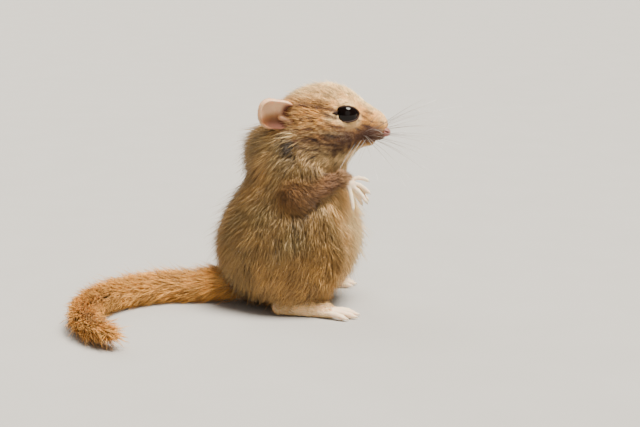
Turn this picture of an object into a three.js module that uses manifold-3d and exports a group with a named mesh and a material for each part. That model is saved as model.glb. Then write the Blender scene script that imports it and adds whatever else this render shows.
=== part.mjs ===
// A hazel dormouse at life size, sitting up on its haunches with its head turned a little to its right.
// Millimetres, +Z up, facing +X, resting on the plane z = 0. The origin is the middle of the flat it sits on.
//
// The body is one smooth field of rounded masses, and each node is the share of that field which lies
// nearest to the node's own masses, so neighbours meet face to face across a thin gap.
import * as THREE from "three";
import { mergeVertices } from "three/addons/utils/BufferGeometryUtils.js";
import Module from "manifold-3d";

const wasm = await Module();
wasm.setup();

// Driving dimensions
const GAP = 0.3; // clear space between neighbouring nodes
const FACET_SAG = 0.08; // extra clearance for flat facets on a round cut, as a share of their size
const SIDES = { right: -1, left: 1 }; // the sign of y on each side of the animal

const HEAD_PLACE = [7, 0, 41.5]; // middle of the braincase
const HEAD_YAW = -12; // degrees, nose towards the animal's right
const HEAD_PITCH = 5; // degrees, nose down
const HEAD_ROLL = -8; // degrees, crown towards the animal's left

const EYE_RADIUS = 2.5;
const EYE_PLACE = [7.5, 5.05, 1.2]; // in the head's own frame, y to each side
const LID_THICKNESS = 0.55;
const LID_RISE = 1.25; // how far the lid's ring stands out from the middle of the eye

const EAR_PLACE = [-7.2, 8.2, -0.35];
const EAR_RADII = [4.3, 2.1, 3.4]; // back, out and up
const EAR_WALL = 0.75;
const EAR_TURN = 28; // degrees that the cup turns forwards
const EAR_LEAN = 12; // degrees that its top leans out

const NOSE_TIP = [15.5, 0, -1.6];
const NOSE_RADII = [1.25, 1.45, 1.2];

const WHISKERS = 7; // the stoutest ones on each side
const WHISKER_LENGTH = 21;
const WHISKER_ROOT = 0.3;
const WHISKER_TIP = 0.07;

const HIND_FOOT_LENGTH = 16.5;
const HIND_FOOT_TURN = 9; // degrees that each foot turns out
const HEEL_PLACE = [-1, 11.2, 1.7];
const TOE_RADIUS = 0.75;
const FINGER_RADIUS = 0.62;
const FINGER_LENGTH = 3.4;

const TAIL_LENGTH = 63;
const TAIL_RADIUS = 3.7; // out to the tips of its hair
const TAIL_BEND = 21; // radius of the tail's curve on the floor
const TAIL_REST = 3.35; // height of its middle line, a little under its radius

// Small vector helpers
const radians = THREE.MathUtils.degToRad;
const vector = (values) => new THREE.Vector3(...values);
const toSide = ([x, y, z], side) => [x, y * SIDES[side], z];
const mix = THREE.MathUtils.lerp;

const headPose = new THREE.Matrix4().compose(
  vector(HEAD_PLACE),
  new THREE.Quaternion().setFromEuler(
    new THREE.Euler(radians(HEAD_ROLL), radians(HEAD_PITCH), radians(HEAD_YAW), "ZYX"),
  ),
  new THREE.Vector3(1, 1, 1),
);
const headPoseBack = headPose.clone().invert();
const headPoint = (place) => vector(place).applyMatrix4(headPose);

// Fields: distance-like functions, below zero inside
function ellipsoid(centre, radii, tilt = 0) {
  const [c, s] = [Math.cos(radians(tilt)), Math.sin(radians(tilt))];
  return (p) => {
    const [dx, dy, dz] = [p.x - centre[0], p.y - centre[1], p.z - centre[2]];
    const [u, w] = [c * dx + s * dz, c * dz - s * dx];
    const near = Math.hypot(u / radii[0], dy / radii[1], w / radii[2]);
    const slope = Math.hypot(u / radii[0] ** 2, dy / radii[1] ** 2, w / radii[2] ** 2);
    return slope > 0 ? (near * (near - 1)) / slope : -Math.min(...radii);
  };
}

function limb(from, to, fromRadius, toRadius) {
  const [a, axis] = [vector(from), vector(to).sub(vector(from))];
  const offset = new THREE.Vector3();
  return (p) => {
    offset.copy(p).sub(a);
    const along = THREE.MathUtils.clamp(offset.dot(axis) / axis.lengthSq(), 0, 1);
    return offset.addScaledVector(axis, -along).length() - mix(fromRadius, toRadius, along);
  };
}

function smoothMin(a, b, blend) {
  const share = Math.max(blend - Math.abs(a - b), 0) / blend;
  return Math.min(a, b) - (share * share * blend) / 4;
}

const joined = (fields, blend) => (p) =>
  fields.map((field) => field(p)).reduce((a, b) => smoothMin(a, b, blend));

// The head's masses are placed in its own frame: x forwards, y to the left, z up
function inHeadFrame(field) {
  const local = new THREE.Vector3();
  return (p) => field(local.copy(p).applyMatrix4(headPoseBack));
}

const bothSides = (make) => Object.keys(SIDES).map(make);

const braincase = inHeadFrame(
  joined(
    [
      ellipsoid([1, 0, -0.1], [9.8, 8.7, 7.7]),
      ellipsoid([5, 0, -0.6], [7.6, 6.7, 6.4], -18),
      ...bothSides((side) => ellipsoid(toSide([2.4, 4.4, -3.4], side), [6.6, 4.3, 4.6])),
    ],
    3,
  ),
);
const snout = inHeadFrame(
  joined(
    [
      ellipsoid([11.4, 0, 0], [4.8, 3.5, 3.7], -15),
      ...bothSides((side) => ellipsoid(toSide([12.6, 1.75, -2.1], side), [3, 2.2, 1.8])),
    ],
    1.6,
  ),
);
const jaw = inHeadFrame(limb([4.8, 0, -3.7], [11.9, 0, -3.7], 3.4, 1.5));
const nose = inHeadFrame(ellipsoid(NOSE_TIP, NOSE_RADII));

const neck = ellipsoid([3.1, 0, 34.6], [11.2, 9.4, 8]);
const trunk = joined(
  [
    ellipsoid([3, 0, 26], [11.2, 10.8, 9.5]),
    ellipsoid([3.4, 0, 16.4], [12.8, 12.8, 11.8]),
    ellipsoid([-1, 0, 12.3], [13.8, 13.2, 13]),
  ],
  5,
);
const thighField = (side) =>
  joined(
    [
      ellipsoid(toSide([3.6, 10.2, 10.2], side), [9.6, 5.3, 8], 26),
      limb(toSide([7, 11.2, 7.4], side), toSide([0.5, 11.2, 4.2], side), 3.6, 2.5),
    ],
    3,
  );

// Where each forelimb bends. The right paw reaches out as in the photograph, the left one is tucked closer.
const ARMS = {
  right: { shoulder: [4.4, -7.4, 29.8], elbow: [2.8, -10, 26.6], wrist: [12, -8.6, 29.2] },
  left: { shoulder: [4.4, 7.4, 29], elbow: [2.9, 10, 24.6], wrist: [12.6, 7.4, 25.8] },
};
const armField = ({ shoulder, elbow, wrist }) =>
  joined([limb(shoulder, elbow, 4, 3.1), limb(elbow, wrist, 3, 1.75)], 2);
const palmReach = { right: [2.4, 0.1, -0.9], left: [2, -1.1, -1.2] };
const palmField = (side) => {
  const wrist = vector(ARMS[side].wrist);
  const knuckles = wrist.clone().add(vector(palmReach[side]));
  return limb(wrist.toArray(), knuckles.toArray(), 1.5, 1.75);
};

const footDirection = (side) =>
  new THREE.Vector3(1, Math.tan(radians(HIND_FOOT_TURN)) * SIDES[side], 0).normalize();
const footPoint = (side, along, height) =>
  vector(toSide(HEEL_PLACE, side)).addScaledVector(footDirection(side), along).setZ(height);
const FOOT_BALL = 0.62; // where the toes begin, as a share of the foot's length
const footField = (side) =>
  joined(
    [
      limb(toSide(HEEL_PLACE, side), footPoint(side, 6, 1.8).toArray(), 1.9, 1.9),
      limb(footPoint(side, 5, 1.8).toArray(), footPoint(side, 10, 1.3).toArray(), 1.9, 2.1),
    ],
    1,
  );

// The tail leaves the rump backwards and curls forwards along the floor on the animal's right
const TAIL_STRAIGHT = 9; // before the curl begins
const TAIL_ROOT = [-11.5, 0.5, 4.6];
function tailPoint(along) {
  if (along < TAIL_STRAIGHT)
    return new THREE.Vector3(TAIL_ROOT[0] - along, TAIL_ROOT[1], mix(TAIL_ROOT[2], TAIL_REST, along / TAIL_STRAIGHT));
  const turn = (along - TAIL_STRAIGHT) / TAIL_BEND;
  return new THREE.Vector3(
    TAIL_ROOT[0] - TAIL_STRAIGHT - TAIL_BEND * Math.sin(turn),
    TAIL_ROOT[1] - TAIL_BEND * (1 - Math.cos(turn)),
    TAIL_REST,
  );
}

// Each named mass of flesh, how softly it runs into the ones before it, and the size of its facets
const masses = {
  torso: { field: trunk, blend: 4, facet: 2 },
  neck: { field: neck, blend: 5, facet: 1.8 },
  head: { field: braincase, blend: 3.5, facet: 1.25 },
  muzzle: { field: snout, blend: 2.5, facet: 0.75 },
  lower_jaw: { field: jaw, blend: 0.8, facet: 0.7 },
  nose: { field: nose, blend: 0.5, facet: 0.42 },
};
for (const side of Object.keys(SIDES)) {
  masses["thigh_" + side] = { field: thighField(side), blend: 3, facet: 1.6 };
  masses["foreleg_" + side] = { field: armField(ARMS[side]), blend: 2, facet: 1.2 };
  masses["forepaw_" + side] = { field: palmField(side), blend: 0.8, facet: 0.7 };
  masses["hindfoot_" + side] = { field: footField(side), blend: 1, facet: 1 };
}

const flesh = (p) =>
  Object.values(masses).reduce((sum, mass) => smoothMin(sum, mass.field(p), mass.blend), Infinity);

const AXES = [[1, 0, 0], [0, 1, 0], [0, 0, 1]].map(vector);
const PROBE = 0.05; // step for measuring a slope
const MIN_SLOPE = 0.3;
const CUT_REACH = 3; // beyond this lead a point is far from any cut

// The share of the flesh that lies nearer to one mass than to any other
function share(name) {
  const others = Object.keys(masses).filter((other) => other !== name);
  const lead = (p) => masses[name].field(p) - Math.min(...others.map((other) => masses[other].field(p)));
  const clear = GAP / 2 + FACET_SAG * masses[name].facet;
  const probe = new THREE.Vector3();
  return (p) => {
    const here = lead(p);
    if (Math.abs(here) > CUT_REACH) return Math.max(flesh(p), here);
    // The lead over its slope is the distance to the cut
    const slope = AXES.map((axis) => (lead(probe.copy(p).addScaledVector(axis, PROBE)) - here) / PROBE);
    return Math.max(flesh(p), here / Math.max(MIN_SLOPE, Math.hypot(...slope)) + clear);
  };
}

// A closed surface over a field: one vertex in each grid cell that the surface crosses
function skinOver(field, box, facet) {
  const counts = box.getSize(new THREE.Vector3()).divideScalar(facet).ceil().addScalar(1);
  const [nx, ny, nz] = counts.toArray();
  const index = (i, j, k) => (k * ny + j) * nx + i;
  const corner = (i, j, k) => new THREE.Vector3(i, j, k).multiplyScalar(facet).add(box.min);
  const values = new Float64Array(nx * ny * nz);
  const onRim = (n, count) => n === 0 || n === count - 1;
  for (let k = 0; k < nz; k++)
    for (let j = 0; j < ny; j++)
      for (let i = 0; i < nx; i++) {
        const rim = onRim(i, nx) || onRim(j, ny) || onRim(k, nz);
        values[index(i, j, k)] = rim ? facet : field(corner(i, j, k));
      }

  const steps = [[1, 0, 0], [0, 1, 0], [0, 0, 1]];
  dropDiagonals(values, counts, steps, index, facet);
  const corners = [0, 1, 2, 3, 4, 5, 6, 7].map((n) => [n & 1, (n >> 1) & 1, n >> 2]);
  const vertexOf = new Map();
  const points = [];
  const edgePoint = (a, b) => {
    const [va, vb] = [values[index(...a)], values[index(...b)]];
    return corner(...a).lerp(corner(...b), va / (va - vb));
  };
  for (let k = 0; k < nz - 1; k++)
    for (let j = 0; j < ny - 1; j++)
      for (let i = 0; i < nx - 1; i++) {
        const crossings = [];
        for (const [ci, cj, ck] of corners)
          for (const [si, sj, sk] of steps) {
            if (ci + si > 1 || cj + sj > 1 || ck + sk > 1) continue;
            const a = [i + ci, j + cj, k + ck];
            const b = [a[0] + si, a[1] + sj, a[2] + sk];
            if (values[index(...a)] < 0 !== values[index(...b)] < 0) crossings.push(edgePoint(a, b));
          }
        if (!crossings.length) continue;
        vertexOf.set(index(i, j, k), points.length / 3);
        const middle = crossings.reduce((sum, p) => sum.add(p), new THREE.Vector3());
        points.push(...middle.divideScalar(crossings.length).toArray());
      }

  const triangles = [];
  for (let k = 0; k < nz - 1; k++)
    for (let j = 0; j < ny - 1; j++)
      for (let i = 0; i < nx - 1; i++)
        steps.forEach(([si, sj, sk]) => {
          const inside = values[index(i, j, k)] < 0;
          if (inside === values[index(i + si, j + sj, k + sk)] < 0) return;
          // The four cells round this grid edge, in turn
          const [u, v] = si ? [[0, 1, 0], [0, 0, 1]] : sj ? [[0, 0, 1], [1, 0, 0]] : [[1, 0, 0], [0, 1, 0]];
          const ring = [[1, 1], [0, 1], [0, 0], [1, 0]].map(([a, b]) =>
            vertexOf.get(index(i - a * u[0] - b * v[0], j - a * u[1] - b * v[1], k - a * u[2] - b * v[2])),
          );
          if (!inside) ring.reverse();
          const [a, b, c, d] = ring;
          triangles.push(a, b, c, a, c, d);
        });
  return largest(solidFrom(points, triangles));
}

// Where two inside corners of a grid face meet only across its diagonal, the shallower one is put outside,
// so that no edge of the surface is shared by more than two faces
function dropDiagonals(values, counts, steps, index, facet) {
  const planes = [[0, 1], [1, 2], [2, 0]].map(([a, b]) => [steps[a], steps[b]]);
  const inside = (n) => values[n] < 0;
  let changed = true;
  while (changed) {
    changed = false;
    for (let k = 0; k < counts.z - 1; k++)
      for (let j = 0; j < counts.y - 1; j++)
        for (let i = 0; i < counts.x - 1; i++)
          for (const [u, v] of planes) {
            const a = index(i, j, k);
            const b = index(i + u[0], j + u[1], k + u[2]);
            const c = index(i + v[0], j + v[1], k + v[2]);
            const d = index(i + u[0] + v[0], j + u[1] + v[1], k + u[2] + v[2]);
            if (inside(a) !== inside(d) || inside(b) !== inside(c) || inside(a) === inside(b)) continue;
            const pair = inside(a) ? [a, d] : [b, c];
            values[values[pair[0]] > values[pair[1]] ? pair[0] : pair[1]] = 0.2 * facet;
            changed = true;
          }
  }
}

const solidFrom = (points, triangles) =>
  new wasm.Manifold(
    new wasm.Mesh({ numProp: 3, vertProperties: Float32Array.from(points), triVerts: Uint32Array.from(triangles) }),
  );

const largest = (solid) => solid.decompose().reduce((a, b) => (b.volume() > a.volume() ? b : a));

// A three.js geometry as a solid
function solidOf(geometry) {
  const bare = geometry.clone();
  bare.deleteAttribute("normal");
  bare.deleteAttribute("uv");
  const merged = mergeVertices(bare, 1e-4);
  return solidFrom(merged.attributes.position.array, merged.index.array);
}

// A closed tube along a curve, its radius given along the way
function taperedTube(places, radiusAt, sides, steps) {
  const curve = new THREE.CatmullRomCurve3(places);
  const frames = curve.computeFrenetFrames(steps);
  const points = [];
  for (let i = 0; i <= steps; i++) {
    const centre = curve.getPointAt(i / steps);
    for (let j = 0; j < sides; j++) {
      const turn = (j / sides) * 2 * Math.PI;
      const out = frames.normals[i].clone().multiplyScalar(Math.cos(turn));
      out.addScaledVector(frames.binormals[i], Math.sin(turn));
      points.push(...centre.clone().addScaledVector(out, radiusAt(i / steps)).toArray());
    }
  }
  const triangles = [];
  for (let i = 0; i < steps; i++)
    for (let j = 0; j < sides; j++) {
      const [a, b] = [i * sides + j, i * sides + ((j + 1) % sides)];
      triangles.push(a, b, b + sides, a, b + sides, a + sides);
    }
  const last = steps * sides;
  for (let j = 1; j < sides - 1; j++) triangles.push(0, j + 1, j, last, last + j, last + j + 1);
  return solidFrom(points, triangles);
}

const onFloor = (solid) => solid.trimByPlane([0, 0, 1], 0);

// The box that a mass fills, with room for its blends
function boxOf(field, start, facet) {
  const box = new THREE.Box3();
  const reach = 34;
  const step = 1;
  const p = new THREE.Vector3();
  for (let x = -reach; x <= reach; x += step)
    for (let y = -reach; y <= reach; y += step)
      for (let z = -reach; z <= reach; z += step) {
        p.set(start.x + x, start.y + y, start.z + z);
        if (field(p) < step) box.expandByPoint(p);
      }
  return box.expandByScalar(2 * facet);
}

// Nodes
const centres = {
  torso: [3, 0, 17], neck: [3, 0, 36], head: HEAD_PLACE,
  muzzle: headPoint([11, 0, -2]).toArray(),
  lower_jaw: headPoint([8, 0, -6]).toArray(),
  nose: headPoint(NOSE_TIP).toArray(),
};
for (const side of Object.keys(SIDES)) {
  centres["thigh_" + side] = toSide([4, 10, 9], side);
  centres["foreleg_" + side] = ARMS[side].elbow;
  centres["forepaw_" + side] = ARMS[side].wrist;
  centres["hindfoot_" + side] = footPoint(side, 6, 2).toArray();
}

function fleshNode(name) {
  const { field, facet } = masses[name];
  const box = boxOf(field, vector(centres[name]), facet);
  return skinOver(share(name), box, facet);
}

const eyeMatrix = (side) => {
  const place = headPoint(toSide(EYE_PLACE, side));
  return new THREE.Matrix4().extractRotation(headPose).setPosition(place);
};
const eyeball = (side, radius) =>
  solidOf(new THREE.SphereGeometry(radius, 14, 9).applyMatrix4(eyeMatrix(side)));

// A rounded lid: an almond ring that hugs the eyeball and stands out from the face
function lid(side) {
  const ring = new THREE.TorusGeometry(EYE_RADIUS, LID_THICKNESS, 6, 18);
  ring.scale(1.12, 0.98, 1).rotateX(radians(90)).rotateZ(radians(-14 * SIDES[side]));
  ring.rotateX(radians(8 * SIDES[side])).translate(0, LID_RISE * SIDES[side], 0);
  return solidOf(ring.applyMatrix4(eyeMatrix(side)));
}

function headSolid() {
  const bare = bothSides(lid).reduce((head, ring) => head.add(ring), fleshNode("head"));
  return largest(bothSides((side) => eyeball(side, EYE_RADIUS + GAP)).reduce((head, ball) => head.subtract(ball), bare));
}

// The outer ear: a shallow bowl with an open mouth, cut to the side of the head
function ear(side, headGrown) {
  const shaped = (radii, out) => {
    const bowl = new THREE.SphereGeometry(1, 16, 10).scale(...radii).translate(0, out * SIDES[side], 0);
    bowl.rotateX(radians(-EAR_LEAN * SIDES[side])).rotateZ(radians(-EAR_TURN * SIDES[side]));
    return solidOf(bowl.translate(...toSide(EAR_PLACE, side)).applyMatrix4(headPose));
  };
  const hollow = EAR_RADII.map((radius) => radius - EAR_WALL);
  return largest(shaped(EAR_RADII, 0).subtract(shaped(hollow, EAR_RADII[1] * 0.62)).subtract(headGrown));
}

function noseSolid() {
  const nostril = (side) => {
    const pit = new THREE.SphereGeometry(0.42, 8, 6).scale(1.5, 0.8, 1);
    pit.rotateZ(radians(35 * SIDES[side]));
    return solidOf(pit.translate(NOSE_TIP[0] + 0.85, 0.72 * SIDES[side], NOSE_TIP[2] - 0.1).applyMatrix4(headPose));
  };
  return largest(bothSides(nostril).reduce((tip, pit) => tip.subtract(pit), fleshNode("nose")));
}

// Whiskers fan from each lip pad: the upper ones forwards, the lower ones back, all bending down at the tip
function whisker(side, n) {
  const t = n / (WHISKERS - 1);
  const root = [mix(13.2, 11.4, t), 2.2, -1.8 + 0.8 * Math.cos(n * 2.4)];
  const yaw = radians(mix(30, 84, t));
  const rise = radians(mix(32, -14, t) + 10 * Math.cos(n * 2.4));
  const length = WHISKER_LENGTH * mix(0.86, 1, Math.sin(Math.PI * t));
  const droop = 0.13 * length;
  const places = [0, 0.35, 0.7, 1].map((share) =>
    headPoint(
      toSide(
        [
          root[0] + length * share * Math.cos(yaw) * Math.cos(rise),
          root[1] + length * share * Math.sin(yaw) * Math.cos(rise),
          root[2] + length * share * Math.sin(rise) - droop * share * share,
        ],
        side,
      ),
    ),
  );
  return taperedTube(places, (t) => mix(WHISKER_ROOT, WHISKER_TIP, t), 4, 5);
}

function muzzleSolid() {
  let muzzle = fleshNode("muzzle");
  for (const side of Object.keys(SIDES))
    for (let n = 0; n < WHISKERS; n++) muzzle = muzzle.add(whisker(side, n));
  return largest(muzzle);
}

// Four fingers, fanned, each ending in a small hooked claw
const FINGER_REACH = {
  right: [[0.22, -0.2, -0.95], [0.77, -0.12, -0.63], [0.93, 0.06, -0.36], [0.97, 0.18, 0.1]],
  left: [[0.62, 0.32, -0.72], [0.8, 0.05, -0.62], [0.84, -0.2, -0.52], [0.84, -0.46, -0.25]],
};
function forepaw(side) {
  const knuckles = vector(ARMS[side].wrist).add(vector(palmReach[side]));
  return FINGER_REACH[side].reduce((paw, reach, n) => {
    const direction = vector(reach).normalize();
    const length = FINGER_LENGTH * [0.92, 1.05, 1.02, 0.88][n] + 1.2;
    const root = knuckles.clone().add(new THREE.Vector3(-0.2, (n - 1.5) * 0.55 * SIDES.left, (n - 1.5) * 0.3));
    const places = [0, 0.45, 0.8, 1].map((share) =>
      root
        .clone()
        .addScaledVector(direction, length * share)
        .add(new THREE.Vector3(0, 0, 0.55 * Math.sin(Math.PI * Math.min(1, share)) - 0.35 * share ** 3)),
    );
    const radiusAt = (t) => (t < 0.8 ? FINGER_RADIUS * (1 - 0.12 * t) : mix(FINGER_RADIUS * 0.9, 0.16, (t - 0.8) / 0.2));
    return paw.add(taperedTube(places, radiusAt, 6, 6));
  }, fleshNode("forepaw_" + side));
}

// Five toes on the floor; the first is short
const TOES = [
  { turn: -26, length: 2.6, across: -1.5, back: 1.2 },
  { turn: -13, length: 5, across: -1.25, back: 0 },
  { turn: -3, length: 5.8, across: -0.4, back: -0.3 },
  { turn: 7, length: 5.7, across: 0.5, back: -0.3 },
  { turn: 19, length: 4.9, across: 1.35, back: 0.3 },
];
function hindfoot(side) {
  const forwards = footDirection(side);
  const outwards = new THREE.Vector3(-forwards.y, forwards.x, 0).multiplyScalar(SIDES[side]);
  const toes = TOES.map(({ turn, length, across, back }) => {
    const root = footPoint(side, HIND_FOOT_LENGTH * FOOT_BALL - back - 0.6, 0.95).addScaledVector(outwards, across);
    const reach = forwards.clone().multiplyScalar(Math.cos(radians(turn)));
    reach.addScaledVector(outwards, Math.sin(radians(turn)));
    const places = [0, 0.4, 0.78, 1].map((share) =>
      root
        .clone()
        .addScaledVector(reach, (length + 1.2) * share)
        .setZ(mix(1.05, 0.55, share) + 0.3 * Math.sin(Math.PI * share)),
    );
    const radiusAt = (t) => (t < 0.8 ? TOE_RADIUS * (1 - 0.1 * t) : mix(TOE_RADIUS * 0.9, 0.2, (t - 0.8) / 0.2));
    return taperedTube(places, radiusAt, 6, 5);
  });
  return onFloor(largest(toes.reduce((foot, toe) => foot.add(toe), fleshNode("hindfoot_" + side))));
}

// The tail in three lengths. Its hair makes it full from the root on, and it narrows only at the end
const TAIL_PARTS = ["tail_base", "tail_middle", "tail_tip"];
function tailRadius(along) {
  const t = along / TAIL_LENGTH;
  return TAIL_RADIUS * (0.9 + 0.1 * Math.sin(Math.PI * Math.min(1, 1.4 * t))) * Math.sqrt(Math.max(0.02, 1 - t ** 5));
}
const wholeTail = () => {
  const places = [];
  for (let i = 0; i <= 16; i++) places.push(tailPoint((i / 16) * TAIL_LENGTH));
  return taperedTube(places, (t) => tailRadius(t * TAIL_LENGTH), 12, 24);
};
// What lies beyond a cut straight across the tail, or before it
function cutTail(tail, along, keepBeyond) {
  const facing = tailPoint(along + 0.1).sub(tailPoint(along - 0.1)).normalize();
  if (!keepBeyond) facing.negate();
  return tail.trimByPlane(facing.toArray(), facing.dot(tailPoint(along)) + GAP / 2);
}
function tailLength(n, torsoGrown) {
  const size = TAIL_LENGTH / TAIL_PARTS.length;
  let length = wholeTail();
  if (n > 0) length = cutTail(length, n * size, true);
  else length = length.subtract(torsoGrown);
  if (n < TAIL_PARTS.length - 1) length = cutTail(length, (n + 1) * size, false);
  return onFloor(largest(length));
}

// Materials
const fur = (colour) => new THREE.MeshStandardMaterial({ color: colour, roughness: 0.9, metalness: 0 });
const goldenFur = fur(0xc98b45);
const paleFur = fur(0xd8bf94);
const bareSkin = fur(0xd9a792);
const eyeBlack = new THREE.MeshStandardMaterial({ color: 0x0b0808, roughness: 0.06, metalness: 0 });

// The model: a body group with the head's own group inside it
const dormouse = new THREE.Group();
const head = new THREE.Group();
headPose.decompose(head.position, head.quaternion, head.scale);
dormouse.add(head);

function place(name, solid, material, group = dormouse) {
  const mesh = solid.getMesh();
  const geometry = new THREE.BufferGeometry();
  geometry.setAttribute("position", new THREE.BufferAttribute(mesh.vertProperties, 3));
  geometry.setIndex(new THREE.BufferAttribute(mesh.triVerts, 1));
  group.updateMatrixWorld(true);
  geometry.applyMatrix4(group.matrixWorld.clone().invert());
  geometry.computeVertexNormals();
  const node = new THREE.Mesh(geometry, material);
  node.name = name;
  group.add(node);
}

const grown = (name, facet) => {
  const box = boxOf(masses[name].field, vector(centres[name]), facet);
  return skinOver((p) => flesh(p) - GAP, box, facet);
};

const torsoGrown = grown("torso", 1.75);
const headGrown = grown("head", 0.95);

place("torso", onFloor(fleshNode("torso")), goldenFur);
place("neck", fleshNode("neck"), goldenFur);
place("head", headSolid(), goldenFur, head);
place("muzzle", muzzleSolid(), goldenFur, head);
place("lower_jaw", fleshNode("lower_jaw"), paleFur, head);
place("nose", noseSolid(), bareSkin, head);
for (const side of Object.keys(SIDES)) {
  place("eye_" + side, eyeball(side, EYE_RADIUS), eyeBlack, head);
  place("ear_" + side, ear(side, headGrown), bareSkin, head);
  place("foreleg_" + side, fleshNode("foreleg_" + side), goldenFur);
  place("forepaw_" + side, forepaw(side), paleFur);
  place("thigh_" + side, onFloor(fleshNode("thigh_" + side)), goldenFur);
  place("hindfoot_" + side, hindfoot(side), paleFur);
}
TAIL_PARTS.forEach((name, n) => place(name, tailLength(n, torsoGrown), goldenFur));

export default dormouse;
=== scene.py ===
# %% [markdown]
# # A hazel dormouse in a coat of solid fur
# A dormouse is a small soft body under a deep coat, so the scene has two layers: one smooth skin that
# lies a coat's depth inside the solids, and thousands of thin tufts that grow from it out to their surface.
# Everything is measured in millimetres and turned into metres when a mesh is made.

# %% Load the solids that the looks are built around
import math
import bpy
import numpy as np
from mathutils import Euler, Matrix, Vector


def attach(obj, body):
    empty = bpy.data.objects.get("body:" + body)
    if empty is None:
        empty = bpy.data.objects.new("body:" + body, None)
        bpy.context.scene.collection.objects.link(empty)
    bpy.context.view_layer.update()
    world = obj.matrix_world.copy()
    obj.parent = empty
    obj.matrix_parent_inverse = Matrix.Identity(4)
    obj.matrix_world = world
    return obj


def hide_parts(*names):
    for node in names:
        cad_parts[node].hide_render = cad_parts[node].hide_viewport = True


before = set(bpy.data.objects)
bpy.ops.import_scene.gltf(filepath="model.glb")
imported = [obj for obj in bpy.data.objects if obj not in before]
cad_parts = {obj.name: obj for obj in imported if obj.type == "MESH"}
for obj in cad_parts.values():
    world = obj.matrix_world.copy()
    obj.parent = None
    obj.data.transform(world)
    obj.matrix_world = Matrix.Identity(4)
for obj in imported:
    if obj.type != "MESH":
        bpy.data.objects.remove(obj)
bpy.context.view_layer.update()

MM = 0.001

# %% [markdown]
# ## Camera and light
# The camera stands a hand's length and a half away, a little above the animal, as in a close portrait.
# Its place could be found by eye, but a target, a height and a distance say the same thing in three numbers.
# Area lamps so near a small thing would light the floor in patches, so the lamps are suns with a wide spread.

# %% Camera
CAMERA_TARGET = Vector((7.7, 0, 19.9)) * MM
CAMERA_HEIGHT = 12  # degrees above the level
CAMERA_AWAY = 333 * MM

turn = math.radians(CAMERA_HEIGHT)
camera = bpy.data.objects.new("camera", bpy.data.cameras.new("camera"))
camera.data.lens, camera.data.sensor_width = 85, 36
camera.data.clip_start = 0.01
camera.location = CAMERA_TARGET + CAMERA_AWAY * Vector((0, -math.cos(turn), math.sin(turn)))
camera.rotation_euler = (math.pi / 2 - turn, 0, 0)
bpy.context.collection.objects.link(camera)
bpy.context.scene.camera = camera
print("camera", [round(v, 3) for v in camera.location])

# %% Light: a broad warm lamp high in front, two weak ones in front and behind, and a dim even sky
def sunlight(name, place, spread, strength, colour):
    """A lamp so far off that the floor is lit evenly. A wide spread keeps its shadows soft."""
    light = bpy.data.lights.new(name, "SUN")
    light.angle, light.energy, light.color = math.radians(spread), strength, colour
    holder = bpy.data.objects.new(name, light)
    holder.rotation_euler = (-Vector(place)).to_track_quat("-Z", "Y").to_euler()
    bpy.context.collection.objects.link(holder)


sunlight("key_light", (0.42, -0.26, 1.3), 32, 12.5, (1, 0.94, 0.83))
sunlight("fill_light", (0.3, -1, 0.45), 50, 0.6, (1, 0.95, 0.88))
sunlight("back_light", (-0.6, 0.8, 0.85), 45, 1.8, (1, 0.95, 0.87))

world = bpy.data.worlds.new("pale_room")
world.use_nodes = True
world.node_tree.nodes["Background"].inputs["Color"].default_value = (0.72, 0.7, 0.68, 1)
world.node_tree.nodes["Background"].inputs["Strength"].default_value = 0.22
bpy.context.scene.world = world

# %% [markdown]
# ## The shape of the body as a field
# A sculpted mesh would do, but the solids are a sum of rounded masses, so the skin is the same sum, each
# mass made thinner by the depth of its own coat. A field gives a value below zero inside the flesh, and
# two fields run into each other softly through a smooth minimum.

# %% Masses
SIDES = {"right": -1, "left": 1}
HEAD_PLACE = np.array([7, 0, 41.5])
HEAD_TILT = (-8, 5, -12)  # degrees that it is rolled, pitched and turned by
HEAD_TURN = np.array(Euler([math.radians(v) for v in HEAD_TILT], "XYZ").to_matrix())


def to_side(place, side):
    return np.array([place[0], place[1] * SIDES[side], place[2]], float)


def on_side(p, side):
    return p[:, 1] * SIDES[side] > 0


def mirrored(p):
    """The same places on the left, so that one shape or patch serves both sides."""
    return p * (1, 0, 1) + np.abs(p) * (0, 1, 0)


def head_to_world(place):
    return np.asarray(place, float) @ HEAD_TURN.T + HEAD_PLACE


def world_to_head(p):
    return (p - HEAD_PLACE) @ HEAD_TURN


def ellipsoid(centre, radii, tilt=0.0):
    c, s = math.cos(math.radians(tilt)), math.sin(math.radians(tilt))
    rx, ry, rz = radii

    def field(p):
        x, y, z = p[:, 0] - centre[0], p[:, 1] - centre[1], p[:, 2] - centre[2]
        u, w = c * x + s * z, c * z - s * x
        near = np.sqrt((u / rx) ** 2 + (y / ry) ** 2 + (w / rz) ** 2) + 1e-6
        slope = np.sqrt((u / rx**2) ** 2 + (y / ry**2) ** 2 + (w / rz**2) ** 2) + 1e-6
        return near * (near - 1) / slope

    return field


def limb(a, b, ra, rb):
    a, b = np.asarray(a, float), np.asarray(b, float)
    axis = b - a

    def field(p):
        along = np.clip((p - a) @ axis / (axis @ axis), 0, 1)
        return np.linalg.norm(p - a - along[:, None] * axis, axis=1) - (ra + (rb - ra) * along)

    return field


def smooth_min(a, b, blend):
    share = np.maximum(blend - np.abs(a - b), 0) / blend
    return np.minimum(a, b) - share * share * blend / 4


def smooth_max(a, b, blend):
    return -smooth_min(-a, -b, blend)


def joined(fields, blend):
    def field(p):
        total = fields[0](p)
        for one in fields[1:]:
            total = smooth_min(total, one(p), blend)
        return total

    return field


def in_head(field):
    return lambda p: field(world_to_head(p))


def smoothstep(low, high, value):
    t = np.clip((value - low) / (high - low), 0, 1)
    return t * t * (3 - 2 * t)


print("head rolled, pitched and turned by", HEAD_TILT, "degrees")

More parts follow.
